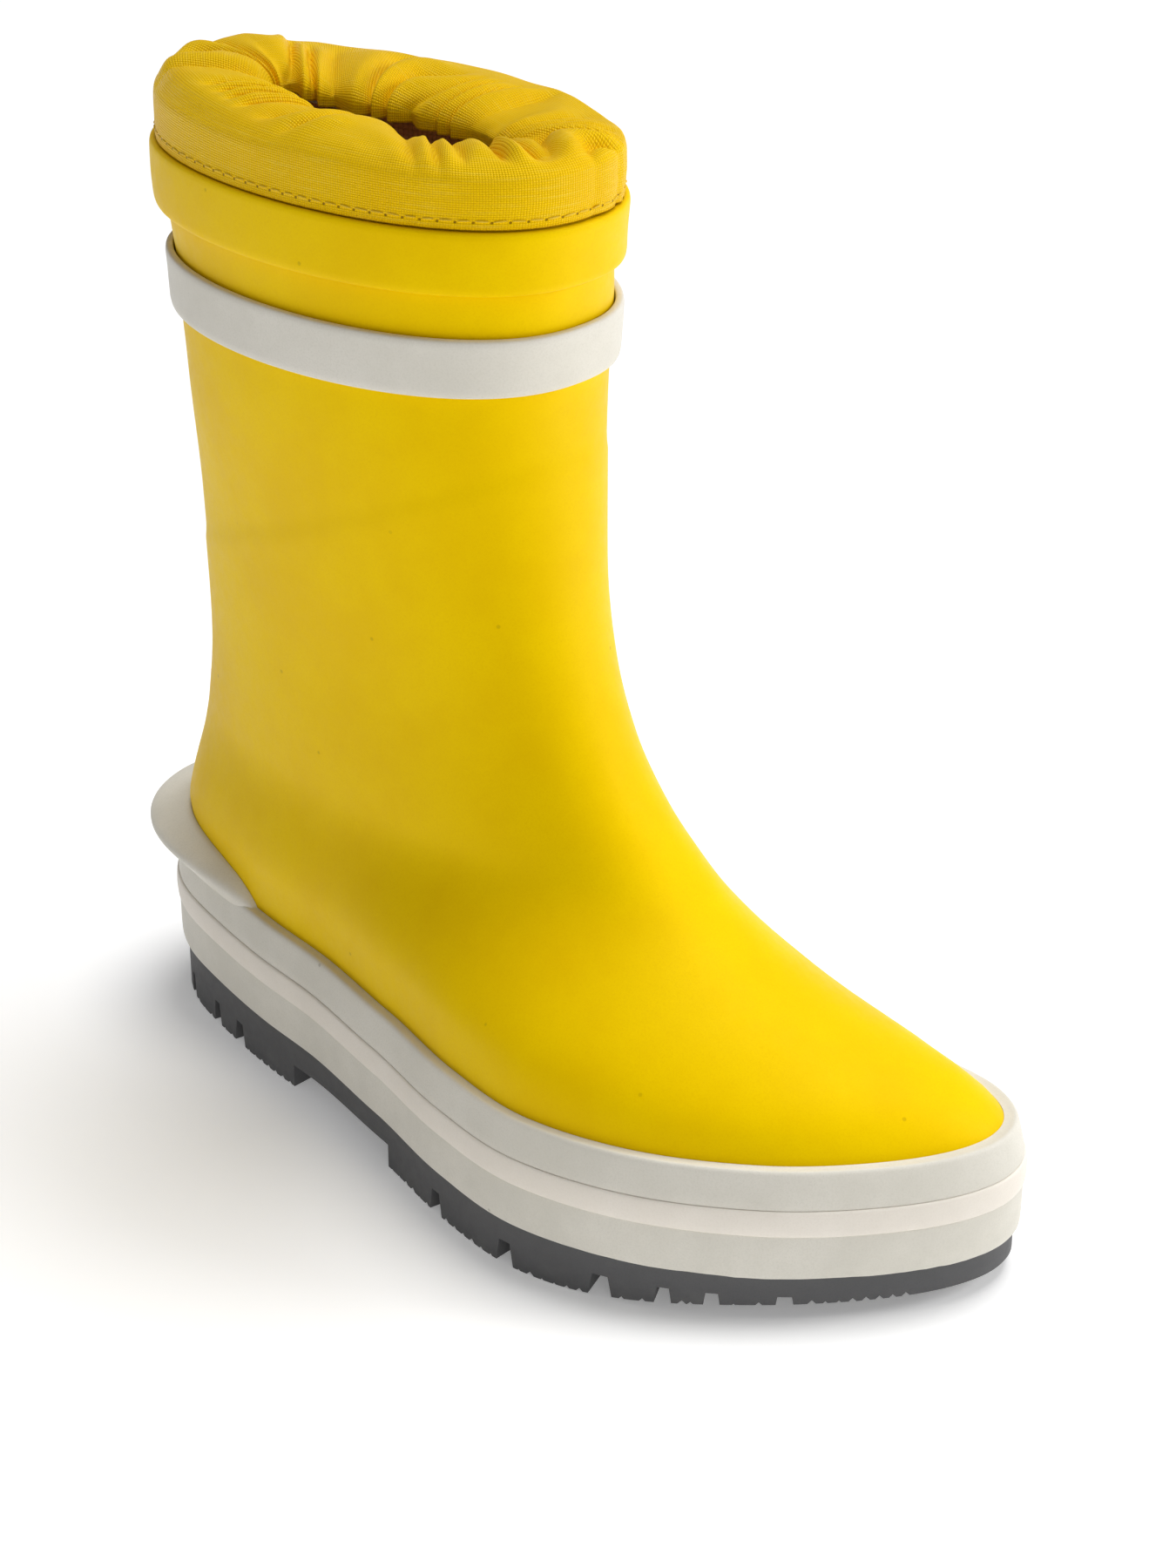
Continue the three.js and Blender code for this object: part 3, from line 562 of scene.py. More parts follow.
def upperRelief(level, angle):
    edge = lerp(upperSizes["patchBack"], upperSizes["patchFront"], (1 - np.cos(angle)) / 2)
    patch = (1 - smooth(level, edge - 1.5, edge + 1.5)) * smooth(level, edge - 34, edge - 6)
    waver = np.sin(3 * angle + level / 19) * np.sin(level / 13 + 0.8) + 0.6 * np.sin(5 * angle - level / 9)
    calm = smooth(level, 45, 80) * (1 - smooth(level, 150, 160))
    return upperSizes["patchRise"] * patch + upperSizes["waver"] * waver * calm


def makeUpper():
    thick = upperSizes["thickness"]
    low, high = boot["soleTop"], boot["shaftTop"]
    corners = [(0, low), (0, high), (-thick, high), (-thick, low)]
    section = spaced(rounded(corners, 0.6), upperSizes["step"])
    obj = levelPiece("upper_shell", section, ringAngles(upperSizes["columns"]), shift=upperRelief)
    settle(obj, "shell", "yellow_rubber", yellowRubber, "upper")


makeUpper()
print("upper made")

# Bands: the trim band, the top band and the strip over the back seam

bands = {
    "trim": {"low": 162, "high": 173.3, "thickness": 1.7, "edge": 0.45},
    "top": {"low": 182, "high": 194, "thickness": 2.0, "edge": 0.55},
    "back": {"low": 45.8, "high": 161, "thickness": 1.0, "edge": 0.4, "halfAngle": 10},
    "columns": 260,
}


def bandSection(sizes, step):
    near, far = boot["gap"], boot["gap"] + sizes["thickness"]
    corners = [(far - 0.25, sizes["low"]), (far, sizes["low"] + 1.2), (far, sizes["high"] - 1.0),
               (far - 0.3, sizes["high"]), (near, sizes["high"]), (near, sizes["low"])]
    return spaced(rounded(corners, sizes["edge"]), step)


def makeBands():
    turn = ringAngles(bands["columns"])
    for name, band, node, slot, material in (
            ("trim_strip", "trim", "trim_band", "beige_rubber", beigeRubber),
            ("top_strip", "top", "top_band", "yellow_rubber", yellowRubber)):
        settle(levelPiece(name, bandSection(bands[band], 1.0), turn), "shell", slot, material, node)
    half = math.radians(bands["back"]["halfAngle"])

    def onUpper(level, angle):    # its edges lie closer
        return upperRelief(level, angle) - 0.25 * smooth(np.abs(angle), 0.14, half)
    obj = levelPiece("back_seam_strip", bandSection(bands["back"], 1.5), np.linspace(-half, half, 25),
                     around=False, shift=onUpper)
    settle(obj, "shell", "yellow_rubber", yellowRubber, "back_strip")


makeBands()
print("bands made")

# Foot strip, its stripe and the kicker on the heel

foxing = {
    "height": 23, "columns": 320, "stripeLow": 9.8, "stripeHigh": 15.5, "stripeThickness": 1.2,
    "ragged": 0.22, "seed": 5, "hold": 0.05,    # the strip is stuck down on the upper
}
kicker = {"halfAngle": 53, "reach": 9.8, "height": 9.5, "columns": 150, "tip": 0.9, "tipPlace": (1.2, -0.4)}


def stripGrid(line, turn):    # a line of (inset, height over the sole), taken round the foot
    return soleEdge(turn, line[:, :1], boot["soleTop"] + line[:, 1:])


def makeFoxing():
    turn = ringAngles(foxing["columns"])
    low, high, groove = foxing["stripeLow"], foxing["stripeHigh"], foxing["stripeThickness"] + boot["gap"]
    line = [(1.1, 0.0), (0.75, 0.25), (0.6, 0.9), (0.5, 3.5), (0.5, 6.5), (0.5, low - 0.6), (0.6, low - 0.1),
            (groove, low), (groove, low + 1.5), (groove, high - 1.5), (groove, high),
            (0.65, high + 0.1), (0.6, high + 0.6), (0.95, high + 2.2), (1.3, high + 3.8), (1.66, high + 5.3),
            (1.9, high + 6.2), (2.1, high + 6.9), (2.4, high + 7.35), (2.8, high + 7.5), (3.3, high + 7.35)]
    outer = stripGrid(np.array(line), turn)
    random = np.random.default_rng(foxing["seed"])    # the lower edge is trimmed by hand
    rough = np.convolve(random.normal(0, 1, foxing["columns"] + 4), np.ones(5) / 5, mode="valid")
    toeSide = smooth(np.cos(turn - 2.55), 0.80, 0.97)
    outer[:3, :, 2] += foxing["ragged"] * rough * toeSide * np.array([[1.0], [0.8], [0.3]])
    levels = boot["soleTop"] + np.linspace(foxing["height"] - 0.2, 0.3, 12)
    inner = planOff(levels[:, None], turn, foxing["hold"])
    obj = gridPiece("foot_strip", np.concatenate([outer, inner]), sharpFrom=50)
    settle(obj, "shell", "beige_rubber", beigeRubber, "foxing")
    thin = foxing["stripeThickness"]
    bead = [(0.55, low), (0.3, low + 0.15), (0.16, low + 0.6), (0.04, low + 1.8), (0, (low + high) / 2),
            (0.04, high - 1.8), (0.16, high - 0.6), (0.3, high - 0.15), (0.55, high), (thin, high),
            (thin, (low + high) / 2), (thin, low)]
    obj = gridPiece("foot_stripe", stripGrid(np.array(bead), turn), sharpFrom=50)
    settle(obj, "shell", "white_rubber", whiteRubber, "foxing_stripe")


def makeKicker():
    half = math.radians(kicker["halfAngle"])
    angles = -half * np.cos(np.linspace(0, math.pi, kicker["columns"]))
    swell = 1 - np.abs(angles / half) ** 3
    base = boot["soleTop"] + foxing["height"]
    reach, rise = kicker["reach"], kicker["height"]
    atEnds = np.array([(2.5, -1.3), (2.3, -0.2), (2.0, 0.9), (1.3, 1.9), (0.2, 2.6)])
    atBack = np.array([(3.3, -2.6), (0.82 * reach, 0.32 * rise), (reach, 0.54 * rise),
                       (0.84 * reach, 0.72 * rise), (0.3, rise)])
    lines = [smoothLine(section, 22) for section in (atEnds, atBack)]
    section = lerp(lines[0][:, None], lines[1][:, None], swell[None, :, None])
    past = np.clip((np.abs(angles) / half - kicker["tip"]) / (1 - kicker["tip"]), 0, 1)
    roundness = np.sqrt(1 - past ** 2)[None, :, None]
    section = lerp(np.array(kicker["tipPlace"]), section, roundness)

    def point(reachBy, height):
        flat = normalAt(base, angles)
        flat[..., 2] = 0
        return surface(base + height, angles) + unit(flat) * np.asarray(reachBy)[..., None]
    outer = point(section[..., 0], section[..., 1])
    top = section[-1:, :, 1]
    steps = np.linspace(1, 0, 6)[:, None]
    inner = point(foxing["hold"], lerp(np.minimum(boot["gap"], top - 0.3), top - 0.1, steps))
    obj = gridPiece("heel_ledge", np.concatenate([outer, inner]), around=False, sharpFrom=60)
    settle(obj, "shell", "beige_rubber", beigeRubber, "heel_kicker")


makeFoxing()
makeKicker()
print("foot strip and kicker made")

# Outsole: a block cut by wedges, with a serrated lower edge

outsole = {
    "points": 360, "inset": 1.8, "trayFloor": 8.7, "trayWall": 9, "archFront": 0.04, "archBack": 0.21,
    "archClearance": 5.2, "toeSpring": 3.6, "springFrom": 0.19, "springTo": 0.42, "underside": -3.8,
    "notches": [(0.418, 2.4), (0.357, 2.8), (0.31, 3.6), (-0.048, 3.6), (-0.15, 3.8), (-0.25, 4.4),
                (-0.303, 3.3), (-0.341, 3.3), (-0.392, 3.8)],    # place along the sole, width
    "notchFoot": 0.62, "notchRoof": 0.36, "notchReach": 12, "cleatDepth": 5.2,    # half widths, as shares
    "grooveWidth": 2.6, "grooveDepth": 3.4, "grooveShare": 0.4, "grooveBack": -0.36, "runIn": 4,
    "toothPitch": 2.5, "toothSize": 1.0, "toothReach": 5.0, "toothInset": 1.2, "toothDrop": 0.15,
    "toothGap": 1.3, "toothEnds": (-0.47, 0.45), "unevenness": 0.55, "seed": 3,
    # a toothSize of 1.15 left no outsole after the cut at any pitch tried; 1.0 holds at 2.4 and 2.5
}


def treadHeight(y):
    return outsole["toeSpring"] * smooth(-y / boot["soleLength"], outsole["springFrom"], outsole["springTo"])


def prism(outline, low, high):    # closed prism on an outline; low and high are heights for each point
    count = len(outline)
    verts = [(x, y, z) for heights in (low, high) for (x, y), z in zip(outline, heights)]
    sides = [(i, (i + 1) % count, (i + 1) % count + count, i + count) for i in range(count)]
    return verts, sides + [tuple(reversed(range(count))), tuple(range(count, 2 * count))]


def solidObject(name, parts):
    verts, faces = [], []
    for partVerts, partFaces in parts:
        faces += [tuple(i + len(verts) for i in face) for face in partFaces]
        verts += [tuple(v) for v in partVerts]
    obj = meshObject(name, np.array(verts) * mm + place, faces)
    made = bmesh.new()
    made.from_mesh(obj.data)
    bmesh.ops.recalc_face_normals(made, faces=made.faces)
    made.to_mesh(obj.data)
    made.free()
    return obj


def plainMesh(obj):    # modifiers become plain mesh
    graph = bpy.context.evaluated_depsgraph_get()
    graph.update()
    mesh = bpy.data.meshes.new_from_object(obj.evaluated_get(graph))
    obj.modifiers.clear()
    obj.data = mesh
    return obj


def cutAway(obj, cutter):
    cut = obj.modifiers.new("cut", "BOOLEAN")
    cut.operation = "DIFFERENCE"
    cut.solver = "EXACT"
    cut.object = cutter
    plainMesh(obj)
    bpy.data.objects.remove(cutter)


def edgeAngle(share, side):    # where the sole's edge crosses a place along its length
    angles = np.linspace(0, math.pi, 1441) * side
    y = soleEdge(angles, outsole["inset"], 0)[:, 1]
    return angles[int(np.argmin(np.abs(y - share * boot["soleLength"])))]


def wedgeCutter(width, height, reach, start, way):
    across = np.array([-way[1], way[0]])
    foot, roof = outsole["notchFoot"], outsole["notchRoof"]
    verts = []
    for along in (-outsole["runIn"], reach):
        for sideways, z in ((-foot, -1.0), (foot, -1.0), (roof, height), (-roof, height)):
            flat = start + way * along + across * sideways * width
            verts.append((flat[0], flat[1], z))
    return verts, [(0, 1, 2, 3), (7, 6, 5, 4), (0, 4, 5, 1), (1, 5, 6, 2), (2, 6, 7, 3), (3, 7, 4, 0)]


def lineTree(name, inputs):    # a node tree that starts from a line; it stands a shape at each of its points
    tree = bpy.data.node_groups.new(name, "GeometryNodeTree")
    sockets = {}
    for label, kind in {"Geometry": "Geometry", **inputs, "Material": "Material"}.items():
        socket = tree.interface.new_socket(name=label, in_out="INPUT", socket_type="NodeSocket" + kind)
        sockets[label] = socket.identifier
    tree.interface.new_socket(name="Geometry", in_out="OUTPUT", socket_type="NodeSocketGeometry")
    given = tree.nodes.new("NodeGroupInput").outputs
    line = firstOut(tree, "GeometryNodeMeshToCurve", {"Mesh": given["Geometry"]})
    return tree, sockets, given, line


def standAlong(tree, given, points, shape, rotation, scale, smoothFaces=False):    # real, painted copies
    copies = firstOut(tree, "GeometryNodeInstanceOnPoints", {
        "Points": points, "Instance": shape, "Rotation": rotation, "Scale": scale})
    real = firstOut(tree, "GeometryNodeRealizeInstances", {"Geometry": copies})
    if smoothFaces:
        real = firstOut(tree, "GeometryNodeSetShadeSmooth", {"Geometry": real})
    painted = firstOut(tree, "GeometryNodeSetMaterial", {"Geometry": real, "Material": given["Material"]})
    tree.links.new(painted, tree.nodes.new("NodeGroupOutput").inputs["Geometry"])


def toothTree():    # small wedges that stand along a line, each across it
    tree, sockets, given, line = lineTree("edgeTeeth", {
        "Pitch": "Float", "Size": "Float", "Reach": "Float", "Unevenness": "Float", "Seed": "Int"})
    points = firstOut(tree, "GeometryNodeResampleCurve", {"Curve": line, "Length": given["Pitch"]},
                      mode="LENGTH")
    wedge = firstOut(tree, "GeometryNodeMeshCylinder", {"Vertices": 4, "Radius": 1.0, "Depth": 1.0})
    size = firstOut(tree, "ShaderNodeCombineXYZ", {0: given["Size"], 1: given["Size"], 2: given["Reach"]})
    shape = firstOut(tree, "GeometryNodeTransform", {"Geometry": wedge, "Scale": size})
    inward = vectorNode(tree, "CROSS_PRODUCT", firstOut(tree, "GeometryNodeInputTangent"), (0.0, 0.0, 1.0))
    turned = firstOut(tree, "FunctionNodeAlignRotationToVector", {"Vector": inward}, axis="Z")
    upright = firstOut(tree, "FunctionNodeAlignRotationToVector", {
        "Rotation": turned, "Vector": (0.0, 0.0, 1.0)}, axis="X", pivot_axis="Z")
    least = mathNode(tree, "SUBTRACT", 1.0, given["Unevenness"])
    uneven = addNode(tree, "FunctionNodeRandomValue", {2: least, 3: 1.0, "Seed": given["Seed"]},
                     data_type="FLOAT").outputs[1]
    scale = firstOut(tree, "ShaderNodeCombineXYZ", {0: uneven, 1: uneven, 2: 1.0})
    standAlong(tree, given, points, shape, upright, scale)
    return tree, sockets


def grown(name, points, edges, tree, sockets, values):    # runs a node tree on a line, and keeps a plain mesh
    obj = meshObject(name, points * mm + place, [], edges)
    steps = obj.modifiers.new("grow", "NODES")
    steps.node_group = tree
    for label, value in values.items():
        steps[sockets[label]] = value
    return plainMesh(obj)


def edgeLines():    # the tread's lower edge, without its notches
    lines = []
    widths = dict(outsole["notches"])
    arch = (outsole["archFront"], outsole["archBack"])
    first, last = outsole["toothEnds"]
    stops = [first, *sorted([*widths, *arch]), last]
    for side in (1, -1):
        for low, high in zip(stops, stops[1:]):
            if (low, high) == arch:
                continue
            margin, far = ((widths.get(stop, 0.5) * outsole["notchFoot"] + outsole["toothGap"])
                           / boot["soleLength"] for stop in (low, high))
            angles = np.linspace(edgeAngle(low + margin, side), edgeAngle(high - far, side), 30)
            line = soleEdge(angles, outsole["inset"] + outsole["toothInset"], 0)
            line[:, 2] = treadHeight(line[:, 1]) - outsole["toothDrop"]
            lines.append(line if side > 0 else line[::-1])
    return lines


def cutGround(obj):    # the tread's underside: flat, with the toe sprung up
    length, wide, deep = boot["soleLength"], boot["footWidth"], -20.0
    bend = -np.linspace(outsole["springTo"], outsole["springFrom"], 40)
    y = np.concatenate([np.linspace(-0.6, bend[0], 3), bend[1:], [0.6]]) * length
    ground = [(a, float(treadHeight(a))) for a in y] + [(0.6 * length, deep), (-0.6 * length, deep)]
    verts = [(x, a, b) for x in (-wide, wide) for a, b in ground]
    count = len(ground)
    faces = [(i, (i + 1) % count, (i + 1) % count + count, i + count) for i in range(count)]
    ends = [tuple(range(count)), tuple(range(count, 2 * count))]
    cutAway(obj, solidObject("ground_cut", [(verts, faces + ends)]))


def cutNotches(obj):
    wedges, grooves = [], []
    for share, width in outsole["notches"]:
        angles = np.array([edgeAngle(share, side) for side in (1, -1)])
        ends = soleEdge(angles, outsole["inset"], 0)
        inward = soleEdge(angles, outsole["inset"] + 1, 0) - ends
        for end, way in zip(ends[:, :2], unit(inward[:, :2])):
            wedges.append(wedgeCutter(width, outsole["cleatDepth"], outsole["notchReach"], end, way))
        if share > outsole["grooveBack"]:
            middle = (ends[0][:2] + ends[1][:2]) / 2
            half = np.linalg.norm(ends[1][:2] - ends[0][:2]) * outsole["grooveShare"] / 2
            start = middle - np.array([half - outsole["runIn"], 0])
            grooves.append(wedgeCutter(outsole["grooveWidth"], outsole["grooveDepth"],
                                       2 * half - outsole["runIn"], start, np.array([1.0, 0.0])))
    cutAway(obj, solidObject("notch_cut", wedges))
    cutAway(obj, solidObject("groove_cut", grooves))


def cutTeeth(obj):
    tree, sockets = toothTree()
    teeth = bmesh.new()
    for i, line in enumerate(edgeLines()):
        edges = [(k, k + 1) for k in range(len(line) - 1)]
        cutter = grown("teeth", line, edges, tree, sockets, {
            "Pitch": outsole["toothPitch"] * mm, "Size": outsole["toothSize"] * mm,
            "Reach": outsole["toothReach"] * mm, "Unevenness": outsole["unevenness"],
            "Seed": outsole["seed"] + i, "Material": greyRubber})
        teeth.from_mesh(cutter.data)
        bpy.data.objects.remove(cutter)
    bmesh.ops.recalc_face_normals(teeth, faces=teeth.faces)
    cutter = meshObject("teeth_cut", np.zeros((0, 3)), [])
    teeth.to_mesh(cutter.data)
    teeth.free()
    cutAway(obj, cutter)


def makeOutsole():
    turn = ringAngles(outsole["points"])
    outline = soleEdge(turn, outsole["inset"], 0)[:, :2]
    top = boot["soleTop"] - boot["gap"]
    bottom, top = ([height + lean(y, 0) for _, y in outline] for height in (outsole["underside"], top))
    obj = solidObject("tread_sole", [prism(outline, bottom, top)])
    cutGround(obj)
    tray = soleEdge(turn, outsole["inset"] + outsole["trayWall"], 0)[:, :2]
    levels = (outsole["trayFloor"], boot["soleTop"] + 2)
    low, high = ([height + lean(y, 0) for _, y in tray] for height in levels)
    cutAway(obj, solidObject("tray_cut", [prism(tray, low, high)]))
    wide = boot["footWidth"]
    a, b = outsole["archFront"] * boot["soleLength"], outsole["archBack"] * boot["soleLength"]
    arch = [(-wide, a), (wide, a), (wide, b), (-wide, b)]
    cutAway(obj, solidObject("arch_cut", [prism(arch, [-9.0] * 4, [outsole["archClearance"]] * 4)]))
    cutNotches(obj)
    cutTeeth(obj)
    settle(obj, "shell", "grey_rubber", greyRubber, "outsole")


makeOutsole()
print("outsole made")

# Linings and insole

lining = {"thickness": 1.1, "columns": 140, "footLow": 13.2, "footHigh": 114, "legLow": 114.3, "legHigh": 198,
          "footOff": 3.6, "legOff": 2.3}
insole = {"low": 13.2, "foam": 4.0, "cover": 1.0, "inset": 5.3, "columns": 160}


def makeLinings():
    turn = ringAngles(lining["columns"])
    for name, node, off, low, high in (
            ("foot_knit", "foot_lining", lining["footOff"], lining["footLow"], lining["footHigh"]),
            ("leg_knit", "leg_lining", lining["legOff"], lining["legLow"], lining["legHigh"])):
        far = off + lining["thickness"]
        corners = [(-off, low), (-off, high), (-far, high), (-far, low)]
        obj = levelPiece(name, spaced(rounded(corners, 0.3, 3), 2.5), turn)
        settle(obj, "shell", "tan_knit", tanKnit, node)


def padPiece(name, low, thickness, edge):    # a flat pad with the foot's outline and a rounded rim
    turn = ringAngles(insole["columns"])
    rim = planOff(low, turn, -insole["inset"])
    middle = rim.mean(axis=0)
    profile = [(share, 0.0) for share in (0.5, 0.7, 0.85, 0.94)]
    profile += [(1 - edge * (1 - math.sin(t)) / 30, thickness * (0.5 - 0.5 * math.cos(t)))
                for t in np.linspace(0.15, math.pi - 0.15, 7)]
    profile += [(share, thickness) for share in (0.94, 0.85, 0.7, 0.5)]
    grid = []
    for share, height in profile:
        row = lerp(middle, rim, share)
        row[:, 2] = low + height + lean(row[:, 1], low + height)
        grid.append(row)
    return gridPiece(name, np.array(grid), closedRows=False, sharpFrom=50, uvRow=5)


def makeInsole():
    foam = padPiece("insole_pad", insole["low"], insole["foam"], 1.5)
    settle(foam, "insole", "pale_foam", paleFoam, "insole_foam")
    cover = padPiece("insole_felt", insole["low"] + insole["foam"] + boot["gap"], insole["cover"], 0.5)
    settle(cover, "insole", "grey_felt", greyFelt, "insole_cover")


makeLinings()
makeInsole()
print("linings and insole made")

# Gathered collar

collar = {
    "thickness": 0.8, "cloth": 0.3, "foot": 194.3, "wall": 10.5, "gather": 4.6, "lipDrop": 4.3, "hem": 2.6,
    "nearCrest": 3.0, "farCrest": 0.7, "frontCrest": 2.6, "highest": 0.45,    # the angle of the highest place
    "fullness": (0.58, 0.86), "lift": 0.3,    # how soon the cloth turns over, in front and behind
    "mouthLength": 64, "mouthWidth": 22, "mouthShift": (-2.0, -3.5),
    "columns": 580, "rows": 84, "crowding": 0.85, "folds": 27, "foldDepth": 2.5, "foldBegin": (0.22, -0.08),
    "foldFade": 0.32, "foldLevel": 0.7, "foldShape": 0.4, "wander": 0.42,
    "depthSpread": 0.38, "twist": 0.5, "swell": 0.5, "wrinkle": 0.16, "seed": 8,
}


def mouth(angle):
    middle = boot["soleLength"] * (frontLine(boot["shaftTop"]) + backLine(boot["shaftTop"])) / 2
    x = collar["mouthShift"][0] - collar["mouthWidth"] / 2 * np.sin(angle) + boot["topSway"][0]
    y = middle + collar["mouthShift"][1] + collar["mouthLength"] / 2 * np.cos(angle) + boot["topSway"][1]
    return np.stack([x, y, 0 * x], axis=-1)


def periodic(random, turn, waves):    # a slow random line that closes on itself
    total = sum(random.normal() * np.cos(k * turn) + random.normal() * np.sin(k * turn) for k in waves)
    return total / math.sqrt(len(waves))


def collarFoot(turn, off):    # the ring that the collar stands on, in plan
    start = setOff(boot["shaftTop"], turn, off)
    start[:, 2] = 0
    return start


def crestAt(turn):
    crest = lerp(collar["frontCrest"], collar["nearCrest"], smooth(np.sin(turn), -0.2, 1.0))
    crest = lerp(crest, collar["farCrest"], smooth(-np.sin(turn), -0.2, 0.9))
    return lerp(crest, collar["gather"], smooth(np.cos(turn - collar["highest"]), 0.4, 0.95))


def collarLine(reach, gather, full, lift):    # the cloth's section, as (way to the mouth, height)
    foot = collar["foot"]
    crease = foot + collar["wall"] + lift
    crest = crease + gather
    lip = crest - collar["lipDrop"]
    line = [(0, foot), (0, foot + 3), (0, foot + 6.5), (0.02, crease - 1.6), (0.22, crease - 0.7),
            (0.75, crease + 0.1), (0.16 * reach, lerp(crease, crest, full)), (0.42 * reach, crest),
            (0.7 * reach, crest - 0.5), (0.9 * reach, crest - 2.0), (reach, lip),
            (reach + 0.2, lip - collar["hem"])]
    return np.array(line)


def collarBase(turn, off, random):    # the cloth without its folds, and each point's share of the way in
    start = collarFoot(turn, off)
    way = mouth(turn) - start
    reach = np.linalg.norm(way, axis=1)
    inward = way / reach[:, None]
    base = np.zeros((collar["rows"], len(turn), 3))
    share = np.zeros((collar["rows"], len(turn)))
    gather = crestAt(turn)
    full = lerp(*collar["fullness"], smooth(np.cos(turn - collar["highest"]), 0.3, 0.9))
    lift = collar["lift"] * np.clip(periodic(random, turn, (2, 3, 5, 8)), -2, 2) - collar["lift"]
    for c in range(len(turn)):
        line = smoothLine(collarLine(reach[c], gather[c], full[c], lift[c]), 400)
        length = arcLength(line)
        # rows lie closer together past the wall, where the folds are
        wanted = np.linspace(0, 1, collar["rows"]) ** collar["crowding"] * length[-1]
        u, z = np.interp(wanted, length, line[:, 0]), np.interp(wanted, length, line[:, 1])
        base[:, c] = start[c] + inward[c] * u[:, None]
        base[:, c, 2] = z
        share[:, c] = u / reach[c]
    below = np.minimum(base[..., 2], boot["shaftTop"])
    shift = setOff(below, turn, off) - setOff(boot["shaftTop"], turn, off)
    shift[..., 2] = 0
    base += shift * (base[..., 2] < boot["shaftTop"])[..., None]
    return base, share


def clothNormals(points):
    along = np.gradient(points, axis=0)
    around = np.roll(points, -1, axis=1) - np.roll(points, 1, axis=1)
    return unit(np.cross(around, along))


def collarRelief(turn, off, random, base, share):    # how far the folds stand off the base
    ring = lerp(collarFoot(turn, off), mouth(turn), 0.7)    # folds are evenly spaced along this line
    length = arcLength(np.concatenate([ring, ring[:1]]))
    phase = collar["folds"] * length[:-1] / length[-1]
    phase = phase + collar["wander"] * periodic(random, turn, (2, 3, 5, 7, 11))
    depth = np.clip(1 + collar["depthSpread"] * periodic(random, turn, (3, 5, 8, 13, 17)), 0.3, 1.8)
    out = 0.5 + 0.5 * np.clip(0.5 * periodic(random, turn, (4, 7, 9, 12)), -1, 1)
    atEnds = smooth(np.abs(np.cos(turn)), 0.86, 0.985)
    twist = collar["twist"] * periodic(random, turn, (1, 2, 4, 6))
    inner = np.clip(share, 0, 1)
    begin = lerp(*collar["foldBegin"], np.clip(out * 0.9 + atEnds * 0.6, 0, 1))
    fade = smooth(inner, begin, begin + collar["foldFade"])
    moved = phase + twist * (1 - inner) * 1.3    # past the crest the folds run straight down into the mouth
    lobe = (np.sin(math.pi * moved) ** 2 + 0.006) ** collar["foldShape"]
    fine = np.sqrt(np.sin(math.pi * (2.0 * moved + 0.31)) ** 2 + 0.05)
    strength = collar["foldDepth"] * depth * (1 + 0.5 * atEnds)
    relief = fade * strength * (lobe - collar["foldLevel"])
    relief += 0.5 * smooth(inner, 0.5, 0.95) * (fine - collar["foldLevel"]) * (1 + atEnds)
    relief += collar["swell"] * periodic(random, turn, (3, 4, 6, 9)) * np.sin(math.pi * inner)
    high = smooth(base[..., 2], 200, 205)    # the wall below stays smooth
    return relief + collar["wrinkle"] * np.sin(9 * turn + 4 * inner + 2 * twist) * high * (1 - inner)


def makeCollar():
    random = np.random.default_rng(collar["seed"])
    turn = ringAngles(collar["columns"])
    off = boot["gap"] + collar["thickness"]
    base, share = collarBase(turn, off, random)
    points = base + clothNormals(base) * collarRelief(turn, off, random, base, share)[..., None]
    under = points - clothNormals(points) * collar["cloth"]
    grid = np.concatenate([points, under[::-1]])
    obj = gridPiece("gathered_collar", grid, sharpFrom=180)
    # the needle holes sit on the same line and pitch as the stitches
    line = setOff(collar["foot"] + seam["rise"], turn, off + 0.05)
    count = int(round(arcLength(np.concatenate([line, line[:1]]))[-1] / seam["pitch"]))
    flatRound = arcLength(np.concatenate([grid[0], grid[0][:1]]))[-1] * mm
    # its deep colour is the painted shade in the weave's gaps
    nylon = clothMaterial("yellowNylon", {
        "base": (253, 209, 4), "shade": (248, 195, 0), "deep": (216, 150, 0), "light": (255, 230, 96),
        "threads": 1900.0, "slubs": 0.25, "gapShade": 0.45, "roughness": 0.42, "gloss": 0.36, "sheen": 0.1,
        "bump": 0.6, "relief": 0.00025, "sheenTint": (255, 216, 60), "ownCut": True, "holes": {
            "pitch": flatRound / count, "start": 0.0, "height": seam["rise"] * mm, "radius": 0.0003,
            # the holes' colour is the painted shade in each needle hole
            "dent": 0.0007, "colour": (128, 88, 8)}})
    settle(obj, "shell", "yellow_nylon", nylon, "collar_fabric")
    return line, count


seamLine, stitchCount = makeCollar()
print("collar made")

# Seam: one stitch drawn along the line, by nodes


